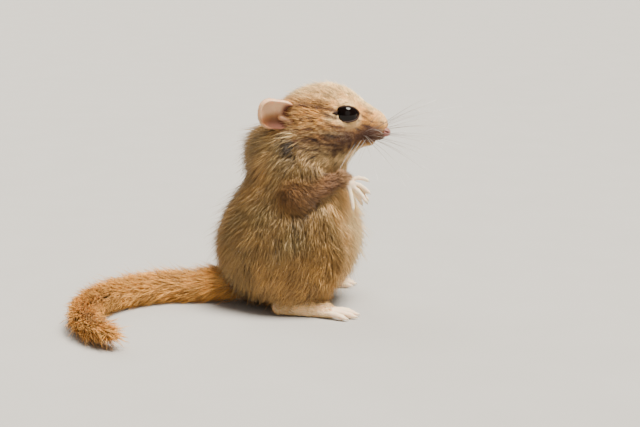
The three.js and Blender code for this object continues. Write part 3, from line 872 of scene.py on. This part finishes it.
# %% Materials
def new_material(name, **values):
    material = bpy.data.materials.new(name)
    material.use_nodes = True
    shader = material.node_tree.nodes["Principled BSDF"]
    for label, value in values.items():
        shader.inputs[label.replace("_", " ")].default_value = value
    return material, material.node_tree, shader


def bump(tree, shader, height, strength, distance):
    node = tree.nodes.new("ShaderNodeBump")
    node.inputs["Strength"].default_value, node.inputs["Distance"].default_value = strength, distance
    tree.links.new(height, node.inputs["Height"])
    tree.links.new(node.outputs["Normal"], shader.inputs["Normal"])


def coat_finish(name, along, **values):
    """A finish in the colour of the coat. Where no place along the hair is given, the tufts give it."""
    material, tree, shader = new_material(name, **values)
    group = tree.nodes.new("ShaderNodeGroup")
    group.node_tree = coat_colour
    plug(tree, group.inputs["Along"], along or attribute(tree, "along")["Fac"])
    tree.links.new(group.outputs["Color"], shader.inputs["Base Color"])
    return material, tree, shader


def mottled(name, scale, detail, dark, light, **values):
    """A finish whose colour moves between two shades."""
    material, tree, shader = new_material(name, **values)
    colour = mixed(tree, noise(tree, scale, detail), (*dark, 1), (*light, 1))
    tree.links.new(colour, shader.inputs["Base Color"])
    return material, tree, shader


fur_finish = coat_finish("fur", None, Roughness=0.6, Sheen_Weight=0.08)[0]
skin_finish, skin_tree, skin_shader = coat_finish("skin_under_fur", 0.35, Roughness=0.7)
bump(skin_tree, skin_shader, noise(skin_tree, 3500, 3, (1, 1, 0.35)), 0.5, 0.0002)

bare_finish, bare_tree, bare_shader = new_material(
    "bare_skin", Roughness=0.65, IOR=1.35, Subsurface_Weight=0.25, Subsurface_Scale=0.0008
)
cream_and_highlight, rust_and_shade, _, _ = masks(bare_tree)
colour = mixed(bare_tree, noise(bare_tree, 1400, 3), (0.60, 0.29, 0.135, 1), (0.70, 0.36, 0.17, 1))
colour = mixed(bare_tree, cream_and_highlight, colour, (0.92, 0.76, 0.55, 1))
# The dark ruddy and maroon colours are painted shade on the ears' lower parts, folds and openings.
colour = mixed(bare_tree, rust_and_shade, colour, (0.11, 0.036, 0.009, 1))
colour = mixed(bare_tree, attribute(bare_tree, "maroon_and_shade")["Fac"], colour, (0.13, 0.035, 0.022, 1))
bare_tree.links.new(colour, bare_shader.inputs["Base Color"])
bump(bare_tree, bare_shader, noise(bare_tree, 6000, 3), 0.35, 0.0001)

NOSE_VALUES = {"Roughness": 0.55, "Subsurface_Weight": 0.2, "Subsurface_Scale": 0.001}
nose_finish, nose_tree, nose_shader = mottled(
    "nose_leather", 2600, 2, (0.22, 0.08, 0.066), (0.32, 0.13, 0.105), **NOSE_VALUES
)
bump(nose_tree, nose_shader, noise(nose_tree, 9000, 2), 0.5, 0.0001)

DARKEST_EYE, PALEST_EYE = (0.0015, 0.0008, 0.0006), (0.005, 0.0022, 0.0014)
eye_finish = mottled("eye_gloss", 700, 2, DARKEST_EYE, PALEST_EYE, Roughness=0.06, IOR=1.28)[0]
LID_VALUES = {"Roughness": 0.75, "IOR": 1.3}
lid_finish = mottled("eyelid_edge", 3000, 2, (0.018, 0.01, 0.008), (0.05, 0.026, 0.018), **LID_VALUES)[0]
claw_finish = mottled("claw", 2500, 2, (0.66, 0.5, 0.4), (0.8, 0.66, 0.55), Roughness=0.3)[0]

whisker_finish, whisker_tree, whisker_shader = new_material("whisker", Roughness=0.3)
from_root = attribute(whisker_tree, "along")["Fac"]
colour = mixed(whisker_tree, from_root, (0.16, 0.11, 0.08, 1), (0.88, 0.86, 0.82, 1))
whisker_tree.links.new(colour, whisker_shader.inputs["Base Color"])
print("materials:", [m.name for m in bpy.data.materials if m.users])

# %% [markdown]
# ## Skin, ears and the unwrap that the tufts use
# The ears are joined into the skin's mesh, so that one skin covers all the flesh. It is unwrapped by its own
# shape, and each tuft will later sit on that map where its root is.

# %% Skin object
points, faces, offsets = together([(skin_points, skin_faces)] + [ears[side] for side in SIDES])
skin = as_mesh("skin", points, faces)
skin_normals = np.empty(len(points) * 3, np.float32)
skin.data.vertex_normals.foreach_get("vector", skin_normals)
skin_normals = skin_normals.reshape(-1, 3).astype(float)
skin_weights = weights(points)
skin_marks = markings(points, skin_normals, skin_weights)
for side, start, end in (("right", offsets[1], offsets[2]), ("left", offsets[2], offsets[3])):
    skin_weights[start:end] = np.eye(len(REGIONS))[REGIONS.index("ear")]
    skin_marks[start:end] = ear_markings(to_ear(world_to_head(points[start:end]), side))
paint(skin, "marks", skin_marks[:, :4])
paint(skin, "maroon_and_shade", skin_marks[:, 4])
paint(skin, "tone", np.full(len(points), 0.5))

bpy.context.view_layer.objects.active = skin
skin.select_set(True)
bpy.ops.object.mode_set(mode="EDIT")
bpy.ops.mesh.select_all(action="SELECT")
bpy.ops.uv.smart_project(angle_limit=math.radians(72), island_margin=0.001)
bpy.ops.object.mode_set(mode="OBJECT")
skin_uv = np.empty(len(skin.data.loops) * 2, np.float32)
skin.data.uv_layers.active.data.foreach_get("uv", skin_uv)
skin_uv = skin_uv.reshape(-1, 4, 2)

body_faces = len(skin_faces)
skin.data.materials.append(skin_finish)
skin.data.materials.append(bare_finish)
which = np.zeros(len(faces), np.int32)
which[body_faces:] = 1
paw_share = share_of(skin_weights, "forepaw", "hindfoot")[faces].mean(1)
skin.data.polygons.foreach_set("material_index", np.where(paw_share > 0.72, 1, which))
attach(skin, "root")
flesh_nodes = [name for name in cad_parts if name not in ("eye_right", "eye_left", "nose")]
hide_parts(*flesh_nodes)
print("skin object:", len(points), "vertices, stands for", len(flesh_nodes), "solids")

# %% [markdown]
# ## Nose pad, eyes, lid edges
# The nose pad is bare and wet looking, with two comma-shaped nostrils and a groove under them. It is small,
# so it gets a finer grid of its own. The eye is a black bead that fills its lids.

# %% Nose pad
def nose_field(p):
    q = mirrored(p - NOSE_TIP + (0.3, 0, 0))
    middle, wing = ellipsoid((0, 0, 0.05), (1.2, 1.2, 1.0)), ellipsoid((0.1, 0.62, -0.1), (1.1, 0.85, 0.85))
    pad = joined([middle, wing], 0.4)(q)
    opening = limb((1.0, 0.5, -0.15), (0.7, 1.0, 0.0), 0.22, 0.26)
    slit = limb((0.7, 1.0, 0), (0.1, 1.45, 0.25), 0.24, 0.1)
    groove = limb((1.4, 0, 0.2), (0.9, 0, -1.2), 0.1, 0.14)(q)
    return smooth_max(smooth_max(pad, -joined([opening, slit], 0.1)(q), 0.15), -groove, 0.12)


nose_points, nose_faces = surface(nose_field, *(NOSE_TIP[n] + spaced((-2.2, 2.2, 0.08)) for n in range(3)))
nose = as_mesh("nose_pad", head_to_world(nose_points), nose_faces)
finished(nose, nose_finish)
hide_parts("nose")
print("nose:", len(nose_points), "vertices")

# %% Eyes and the dark edges of their lids
def ring_faces(rings, around):
    """Faces of four between rings of points."""
    i, j = np.meshgrid(np.arange(rings - 1), np.arange(around), indexing="ij")
    low, high, k = i * around, (i + 1) * around, (j + 1) % around
    return np.stack([low + j, low + k, high + k, high + j], -1).reshape(-1, 4)


def ball(radius, around, up):
    """A sphere as points and faces of four, its poles at the sides of the animal."""
    polar = np.linspace(0.04, math.pi - 0.04, up)
    turn = np.linspace(0, 2 * math.pi, around, endpoint=False)
    a, b = np.meshgrid(polar, turn, indexing="ij")
    points = radius * np.stack([np.sin(a) * np.cos(b), np.cos(a), np.sin(a) * np.sin(b)], -1).reshape(-1, 3)
    caps = [np.arange(around)[None, ::-1], ((up - 1) * around + np.arange(around))[None]]
    return points, [ring_faces(up, around)] + caps


def tube(line, radii, sides=8):
    """A tube along points, open at its ends unless its radius goes to nothing there."""
    line = np.asarray(line, float)
    ahead = unit(np.gradient(line, axis=0))
    across = unit(np.cross(ahead, (0.13, 0.21, 0.97)))
    other = np.cross(ahead, across)
    turn = np.linspace(0, 2 * math.pi, sides, endpoint=False)
    ring = across[:, None] * np.cos(turn)[:, None] + other[:, None] * np.sin(turn)[:, None]
    points = (line[:, None] + ring * np.asarray(radii)[:, None, None]).reshape(-1, 3)
    return points, ring_faces(len(line), sides)


# how far out and ahead of the eye's middle each streak begins, its slope and its length: behind, before
STREAKS = ((2.1, -1.05, 0.0, 2.1), (1, 2.3, -0.4, 0.7))
STREAK_RADII = (0.72, 0.4)


def corner_streaks(side):
    """Lines in the head's frame that run on from the corners of the eye."""
    out, forwards, up = eye_axes(side)
    lines = []
    for outwards, ahead, slope, length in STREAKS:
        corner = to_side(EYE_PLACE, side) + outwards * out + ahead * forwards + 0.25 * up
        way = math.copysign(1, ahead) * forwards + slope * up
        lines.append(settled(head_skin, corner + np.linspace(0, length, 7)[:, None] * way, 4) + 0.1 * out)
    return lines


def lid_line(side):
    """The almond of the opening, just clear of the eyeball and further out at its corners."""
    out, forwards, up = eye_axes(side)
    line = []
    for turn in np.linspace(0, 2 * math.pi, 65):
        a = math.radians(EYE_WIDE) * math.cos(turn)
        b = math.radians(EYE_TALL) * math.copysign(abs(math.sin(turn)) ** 1.3, math.sin(turn))
        reach = EYE_RADIUS + 0.06 + 0.12 * abs(math.cos(turn)) ** 12
        level = math.cos(a) * out + math.sin(a) * forwards
        line.append(to_side(EYE_PLACE, side) + (math.cos(b) * level + math.sin(b) * up) * reach)
    return line


for side in SIDES:
    eye_points, eye_faces = ball(EYE_RADIUS, 48, 28)
    eye = as_mesh("eyeball_" + side, head_to_world(eye_points + to_side(EYE_PLACE, side)), eye_faces)
    finished(eye, eye_finish)
    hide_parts("eye_" + side)
    line = lid_line(side)
    fade = np.power(1 - np.linspace(0, 0.99, 7), 0.8)
    parts = [tube(line, np.full(len(line), 0.2))]
    parts += [tube(streak, radius * fade) for radius, streak in zip(STREAK_RADII, corner_streaks(side))]
    merged("lid_edge_" + side, [(head_to_world(p), f) for p, f in parts], lid_finish)
print("eyes placed", np.round(head_to_world(to_side(EYE_PLACE, "right")), 1))

# %% [markdown]
# ## The coat
# Particle hair looks right but is lost when the model is exported, so each tuft is a thin tapered solid of
# three sides. Roots are scattered over the skin by area. A tuft starts steeply and bends over along the lie
# of the coat, which runs back from the nose, down the trunk, along each limb and along the tail.

# %% Lie of the coat
def lie_of(p, normal, share):
    """The way the hair lies at each point, along the skin."""

    def part(*regions):
        return share_of(share, *regions)[:, None]

    flow = np.zeros_like(p)
    from_nose = unit(world_to_head(p) - (NOSE_TIP + (2, 0, 0.5))) @ HEAD_TURN.T
    down = np.array([-0.12, 0, -1.0])
    flow += part("torso") * down + part("neck") * unit(np.array([-0.75, 0, -0.65]))
    flow += part(*FACE) * from_nose
    _, t = near_tail(p)
    step = (t * (len(TAIL_LINE) - 1)).astype(int).clip(0, len(TAIL_LINE) - 2)
    flow += part("tail") * unit(TAIL_LINE[step + 1] - TAIL_LINE[step])
    flow += part("thigh") * unit((-0.45, 0, -0.9))
    for side in SIDES:
        mine = on_side(p, side)[:, None]
        arm = ARMS[side]
        forearm = unit(np.subtract(arm["wrist"], arm["elbow"]))
        upper = unit(np.subtract(arm["elbow"], arm["shoulder"]))
        near_wrist = smoothstep(-4, 6, (p - arm["elbow"]) @ forearm)[:, None]
        along_arm = near_wrist * forearm + (1 - near_wrist) * unit(forearm + 0.8 * upper)
        flow += mine * part("foreleg") * along_arm
        flow += mine * part("upperarm") * unit(0.35 * forearm + upper)
        along_foot = mine * part("hindfoot") * foot_forwards(side)
        flow += mine * part("forepaw") * unit(PALM_REACH[side]) + along_foot
    for side in SIDES:
        ear_root = head_to_world(to_side(EAR_PLACE, side) + (1.5, -1.5 * SIDES[side], -1.2))
        flow += part("ear") * on_side(p, side)[:, None] * unit(p - ear_root)
    for place in PART_PLACES:
        flow += 1.5 * spot(p, place, (1.8, 3, 2.2))[:, None] * unit((p - place) * (1, 0, 0.25))
    swirl = np.stack([waves(p, 4.5, seed) for seed in (11, 12, 13)], 1)
    flow = flow + 0.22 * swirl * part("torso", "neck", "thigh") + 0.07 * swirl
    flow -= (flow * normal).sum(1)[:, None] * normal
    return unit(flow)


# length, width, tufts to a square millimetre, depth from root to tip, for each region
COAT = {
    "torso": (5.6, 0.25, 19, 2.7),
    "neck": (4.8, 0.23, 21, 2.1),
    "head": (2.5, 0.17, 34, 1.12),
    "muzzle": (1.3, 0.12, 42, 0.48),
    "jaw": (1.2, 0.12, 36, 0.4),
    "tail": (4.8, 0.18, 23, 2.0),
    "thigh": (4.2, 0.23, 19, 1.8),
    "foreleg": (2.3, 0.17, 28, 0.9),
    "forepaw": (0.7, 0.09, 34, 0.16),
    "hindfoot": (0.95, 0.11, 34, 0.25),
    "ear": (0.75, 0.07, 34, 0.16),
    "upperarm": (3.6, 0.21, 22, 1.8),
}
COAT_TABLE = np.array([COAT[name] for name in REGIONS])
print("coat:", {name: values[0] for name, values in COAT.items()})

# %% Roots
rng = np.random.default_rng(20)


def scatter():
    """Roots spread over the skin's faces, as many to an area as its region asks for."""
    corners = points[faces]
    area = np.linalg.norm(np.cross(corners[:, 2] - corners[:, 0], corners[:, 3] - corners[:, 1]), axis=1) / 2
    wanted = area * (skin_weights[faces].mean(1) @ COAT_TABLE[:, 2])
    count = (wanted + rng.random(len(wanted))).astype(int)
    chosen = np.repeat(np.arange(len(faces)), count)
    u, v = rng.random((2, len(chosen)))[:, :, None]
    blend = np.stack([(1 - u) * (1 - v), u * (1 - v), u * v, (1 - u) * v])[..., 0]

    def mixed_at(values):
        return np.einsum("cn,nc...->n...", blend, values[chosen])

    return {
        "place": mixed_at(corners),
        "normal": unit(mixed_at(skin_normals[faces])),
        "share": mixed_at(skin_weights[faces]),
        "marks": mixed_at(skin_marks[faces]),
        "uv": mixed_at(skin_uv),
    }


def hairless(roots):
    """Eyes, nose pad, mouth, what rests on the floor, fingers, toes and most of the inside of the ears."""
    place, normal, share = roots["place"], roots["normal"], roots["share"]
    forepaw, hindfoot = share_of(share, "forepaw") > 0.5, share_of(share, "hindfoot") > 0.5
    q = world_to_head(place)
    bare = np.linalg.norm((q - NOSE_TIP - (0.3, 0, 0)) / (1.2, 1.3, 1.2), axis=1) < 1
    bare |= mouth_line(q) < 0.12
    bare |= (place[:, 2] < 0.35) & (normal[:, 2] < -0.5)
    inner_ear = np.zeros(len(q), bool)
    for side in SIDES:
        bare |= np.linalg.norm(q - to_side(EYE_PLACE, side), axis=1) < EYE_RADIUS + 0.16
        for point in np.concatenate(corner_streaks(side)):
            bare |= np.linalg.norm(q - point - (0.25, 0, 0), axis=1) < 0.4
        bare |= (ear_canal(to_ear(q, side)) < 0.15) & on_side(q, side)
        palm = PALM_REACH[side]
        bare |= forepaw & ((place - ARMS[side]["wrist"]) @ unit(palm) > np.linalg.norm(palm) + 0.2)
        bare |= hindfoot & ((place - to_side(HEEL_PLACE, side)) @ foot_forwards(side) > 11)
        outwards = (normal @ HEAD_TURN * to_side((0.3, 1, 0.1), side)).sum(1)
        inner_ear |= (outwards > 0) & on_side(q, side)
    inner_ear &= share_of(share, "ear") > 0.5
    return bare | (inner_ear & (rng.random(len(q)) < 0.88))


roots = scatter()
bare = hairless(roots)
roots = {key: values[~bare] for key, values in roots.items()}
print("tufts:", len(roots["place"]))

# %% [markdown]
# ## Tufts
# Real fur has short underfur, a few long guard hairs, and locks whose tips lean together. A blade for each
# hair would be far too many, so a tuft stands for some, and its size, lift and tone vary at random.

# %% Size and lift of the tufts
GUARDED = ("torso", "neck", "head", "tail", "thigh", "upperarm")


def sizes_of(roots):
    """Length, width and lift of each tuft, whether it is a guard hair, and how whitish it is, from the wisps
    that are partly pale hair and partly painted highlight.
    """
    place, share, marks = roots["place"], roots["share"], roots["marks"]
    count = len(place)
    length, width, _, depth = (share @ COAT_TABLE).T
    q = world_to_head(place)
    face, forwards = share_of(share, *FACE), smoothstep(0, 8, q[:, 0])
    to_eyes = [np.linalg.norm(q - to_side(EYE_PLACE, side), axis=1) for side in SIDES]
    clear_of_eye = smoothstep(0, 2.6, np.minimum(*to_eyes) - EYE_RADIUS)
    shorter = (1 - face * 0.5 * forwards) * (0.3 + 0.7 * clear_of_eye)
    length = length * shorter * rng.uniform(0.78, 1.12, count) * (1 - 0.5 * marks[:, 3])
    depth = depth * (1 - face * 0.45 * forwards) * rng.uniform(0.75, 1.12, count)
    width = width * (1 - 0.3 * face * forwards) * rng.uniform(0.7, 1.25, count)
    guard = rng.random(count) < 0.08 * (share_of(share, *GUARDED) > 0.5)
    length, width = np.where(guard, 1.4 * length, length), np.where(guard, 0.4 * width, width)
    depth = np.where(guard, 1.75 * depth, depth) * (0.4 + 0.6 * clear_of_eye)
    lift = np.arcsin(np.clip(depth / length, 0.05, 0.9))
    wispy = share_of(share, "torso", "neck") * marks[:, 0] * near_wisps(place)
    length, lift = length * (1 + 0.15 * wispy), lift * (1 + 0.6 * wispy)
    side_q = mirrored(q)
    over_ear = spot(side_q, (-1.8, 7, 1.6), (2.6, 3, 2.6)) + spot(side_q, (-2.4, 7.4, 4.4), (2, 3, 1.8))
    over_ear = face * over_ear
    return length * (1 + 0.45 * over_ear), width, lift * (1 + 0.5 * over_ear), guard, wispy


def locks_of(place, length):
    """The lock that each tuft belongs to, and the way from its root to the middle of the lock."""
    lock_size = 0.75 + 0.28 * length.mean()
    warped = place + 0.5 * np.stack([waves(place, 2.5, seed) for seed in (1, 2, 3)], 1)
    _, lock = np.unique(np.floor(warped / lock_size).astype(int), axis=0, return_inverse=True)
    lock = lock.ravel()
    counts = np.bincount(lock)
    middle = np.stack([np.bincount(lock, place[:, n]) / counts for n in range(3)], 1)[lock]
    return lock, middle - place


print("guard hairs grow on", GUARDED)

# %% Tufts
ROOT_DEPTH = 0.12  # how far a tuft starts under the skin
PATCH_SIZE = 0.003  # of a tuft on the map that the finish is baked to
BLADE_EDGES = ((0, 1), (1, 2), (2, 0))


def spines(place, normal, flow, length, lift, steps):
    """Middle lines of the tufts, steep at the root and flatter towards the tip."""
    spine = [place - normal * ROOT_DEPTH]
    for a, b in zip(steps, steps[1:]):
        angle = lift * (1.55 - 1.1 * ((a + b) / 2))
        ahead = np.cos(angle)[:, None] * flow + np.sin(angle)[:, None] * normal
        spine.append(spine[-1] + ahead * (length * (b - a))[:, None])
    return spine


def blade_faces(count, rings):
    """Faces of four up the sides of all blades, then faces of three at their tips and feet."""
    tip = 3 * rings
    sides = [(r + j, r + k, r + 3 + k, r + 3 + j) for r in range(0, tip - 3, 3) for j, k in BLADE_EDGES]
    ends = [(tip - 3 + j, tip - 3 + k, tip) for j, k in BLADE_EDGES] + [(0, 2, 1)]
    starts = (np.arange(count) * (tip + 1))[:, None, None]
    return [(np.array(group)[None] + starts).reshape(-1, len(group[0])) for group in (sides, ends)]


def tufts(name, roots, rings):
    """A coat piece: every tuft is a three-sided blade of some rings and a tip."""
    place, normal, share, marks = roots["place"], roots["normal"], roots["share"], roots["marks"]
    count = len(place)
    face = share_of(share, *FACE)
    length, width, lift, guard, wispy = sizes_of(roots)
    flow = lie_of(place, normal, share)
    flow = unit(flow + rng.normal(size=flow.shape) * 0.16)
    across = unit(np.cross(normal, flow))
    lock, inwards = locks_of(place, length)
    gather = inwards - (inwards * flow).sum(1)[:, None] * flow

    steps = np.linspace(0, 1, rings + 1)
    spine = spines(place, normal, flow, length, lift, steps)
    hold = (np.where(guard, 0, 0.34) * (1 - 0.5 * face))[:, None]
    spine = [s + gather * hold * t**1.5 for s, t in zip(spine, steps)]
    spine = [np.maximum(s, (-99, -99, 0.15 + 0.1 * t)) for s, t in zip(spine, steps)]  # above the floor
    corners = []
    for s, t in zip(spine[:-1], steps):
        w = (width * (0.8 + 0.5 * t - 1.05 * t * t))[:, None]
        corners += [s - across * w / 2, s + across * w / 2, s + normal * w * 0.45]
    corners = np.stack(corners + [spine[-1]], 1)
    size = corners.shape[1]
    piece = as_mesh(name, corners.reshape(-1, 3), blade_faces(count, rings))

    along = np.append(np.repeat(steps[:-1], 3), 1.0)
    tint = rng.uniform(-0.1, 0.14, count)[:, None]
    lock_tone = rng.normal(0, 0.15, lock.max() + 1)[lock] * (1 + 0.5 * face)
    own_tone = rng.normal(0, 0.13, count) * (1 + face)
    # The wisps' tufts are made brighter as a painted highlight.
    tone = (0.5 + lock_tone + own_tone + 0.25 * guard + 0.4 * wispy).clip(0.1, 1.1)
    paint(piece, "marks", np.repeat(marks[:, :4], size, 0))
    paint(piece, "maroon_and_shade", np.repeat(marks[:, 4], size))
    paint(piece, "tone", np.repeat(tone, size))
    paint(piece, "along", np.clip(along[None] + tint, 0, 1).ravel())

    spread = np.array([(x, t) for t in steps[:-1] for x in (-0.45, 0.45, 0)] + [(0, 1)])
    patch = roots["uv"][:, None] + PATCH_SIZE * (spread * (1, 0.9) - (0, 0.45))[None]
    order = np.empty(len(piece.data.loops), np.int32)
    piece.data.loops.foreach_get("vertex_index", order)
    baked = piece.data.uv_layers.new(name="OFBake")
    baked.data.foreach_set("uv", patch.reshape(-1, 2)[order].astype(np.float32).ravel())
    return finished(piece, fur_finish)


MOST_TRIANGLES = 190_000
# name of the coat pieces, the regions that they cover and the rings of their tufts
GROUPS = [
    ("coat_face", FACE, 2),
    ("coat_body", ("torso", "neck", "thigh", "upperarm"), 2),
    ("coat_limbs", ("foreleg", "forepaw", "hindfoot"), 2),
    ("coat_ears", ("ear",), 2),
    ("coat_tail", ("tail",), 3),
]
region = np.array(REGIONS)[roots["share"].argmax(1)]
coat_triangles = 0
for name, members, rings in GROUPS:
    chosen = np.flatnonzero(np.isin(region, members))
    chosen = chosen[np.argsort(roots["place"][chosen, 2])]
    each = 6 * (rings - 1) + 4
    pieces = max(1, math.ceil(len(chosen) * each / MOST_TRIANGLES))
    for n, part in enumerate(np.array_split(chosen, pieces)):
        piece = tufts(f"{name}_{n + 1}", {key: values[part] for key, values in roots.items()}, rings)
        coat_triangles += len(part) * each
        print(piece.name, len(part) * each)
print("coat triangles:", coat_triangles)

# %% [markdown]
# ## Claws and whiskers
# Claws are short curved cones at the ends of the fingers and toes. Whiskers are fine tapered tubes that fan
# from the lip pads and bend under their own weight.

# %% Claws
CLAW_STEPS = np.linspace(0, 1, 7)


def claw_line(places):
    """A short line that runs on from the end of a finger or toe and hooks down, above the floor."""
    ahead = unit(places[-1] - places[-2])
    root = places[-1] - ahead * 0.25 + (0, 0, 0.08)
    hook = [(0, 0, 0.14 * math.sin(math.pi * t) - 0.3 * t * t) for t in CLAW_STEPS]
    return np.maximum(root + ahead * 0.8 * CLAW_STEPS[:, None] + hook, (-99, -99, 0.1))


for side in SIDES:
    for name, places_of, count in (("forepaw", finger_places, 4), ("hindfoot", toe_places, 5)):
        radii = 0.2 * np.sqrt(1 - np.linspace(0, 0.995, 7) ** 1.6)
        parts = [tube(claw_line(places_of(side, n)), radii) for n in range(count)]
        merged(f"claws_{name}_{side}", parts, claw_finish)
print("claws on four feet")

# %% Whiskers
WHISKERS_A_SIDE, WHISKER_RINGS, WHISKER_SIDES = 20, 12, 5
HANGING = (5, 12, 19)  # which of them hang and are pale to the root


def whisker_line(side, n, rng):
    t = n / (WHISKERS_A_SIDE - 1)
    row = n % 4
    root = np.array([13.2 - 2.0 * t - 0.25 * row, 1.5 + 0.7 * t + 0.18 * row, -1.6 - 0.55 * row])
    if n in HANGING:
        yaw, rise, length = 130, -52, 9
    else:
        yaw = 34 + 40 * t + rng.uniform(-6, 6)
        rise = 33 - 11 * row - 12 * t + rng.uniform(-6, 6)
        length = 14 + 13 * math.sin(math.pi * (0.15 + 0.75 * t))
    length *= rng.uniform(0.8, 1.05)
    yaw, rise = math.radians(yaw), math.radians(rise)
    ahead = np.array([math.cos(yaw) * math.cos(rise), math.sin(yaw) * math.cos(rise), math.sin(rise)])
    line = []
    for s in np.linspace(0, 1, WHISKER_RINGS):
        sag = np.array([0, 0, 0.15 * length * s * s])
        line.append(root - ahead * 0.5 + ahead * length * s - sag)
    return head_to_world([place * (1, SIDES[side], 1) for place in line])


whisker_radii = np.linspace(0.048, 0.016, WHISKER_RINGS)
from_root = np.linspace(0, 1, WHISKER_RINGS) ** 1.6
numbers = range(WHISKERS_A_SIDE)
for side in SIDES:
    whisker_rng = np.random.default_rng(7 if side == "right" else 8)
    parts = [tube(whisker_line(side, n, whisker_rng), whisker_radii, WHISKER_SIDES) for n in numbers]
    whiskers = merged("whiskers_" + side, parts, whisker_finish)
    along = [np.ones(WHISKER_RINGS) if n in HANGING else from_root for n in numbers]
    paint(whiskers, "along", np.repeat(np.concatenate(along), WHISKER_SIDES))
print("whiskers:", 2 * WHISKERS_A_SIDE)

# %% [markdown]
# ## Floor
# A pale sheet of card, wide enough that its edge is never in view.

# %% Floor
FLOOR_REACH = 3000
floor_corners = np.array([(-1, -1, 0), (1, -1, 0), (1, 1, 0), (-1, 1, 0)], float) * FLOOR_REACH
floor = as_mesh("floor", floor_corners, np.array([[0, 1, 2, 3]]))
floor_finish = mottled("pale_card", 60, 3, (0.35, 0.34, 0.325), (0.38, 0.37, 0.355), Roughness=0.8)[0]
floor.data.materials.append(floor_finish)
print("floor laid")
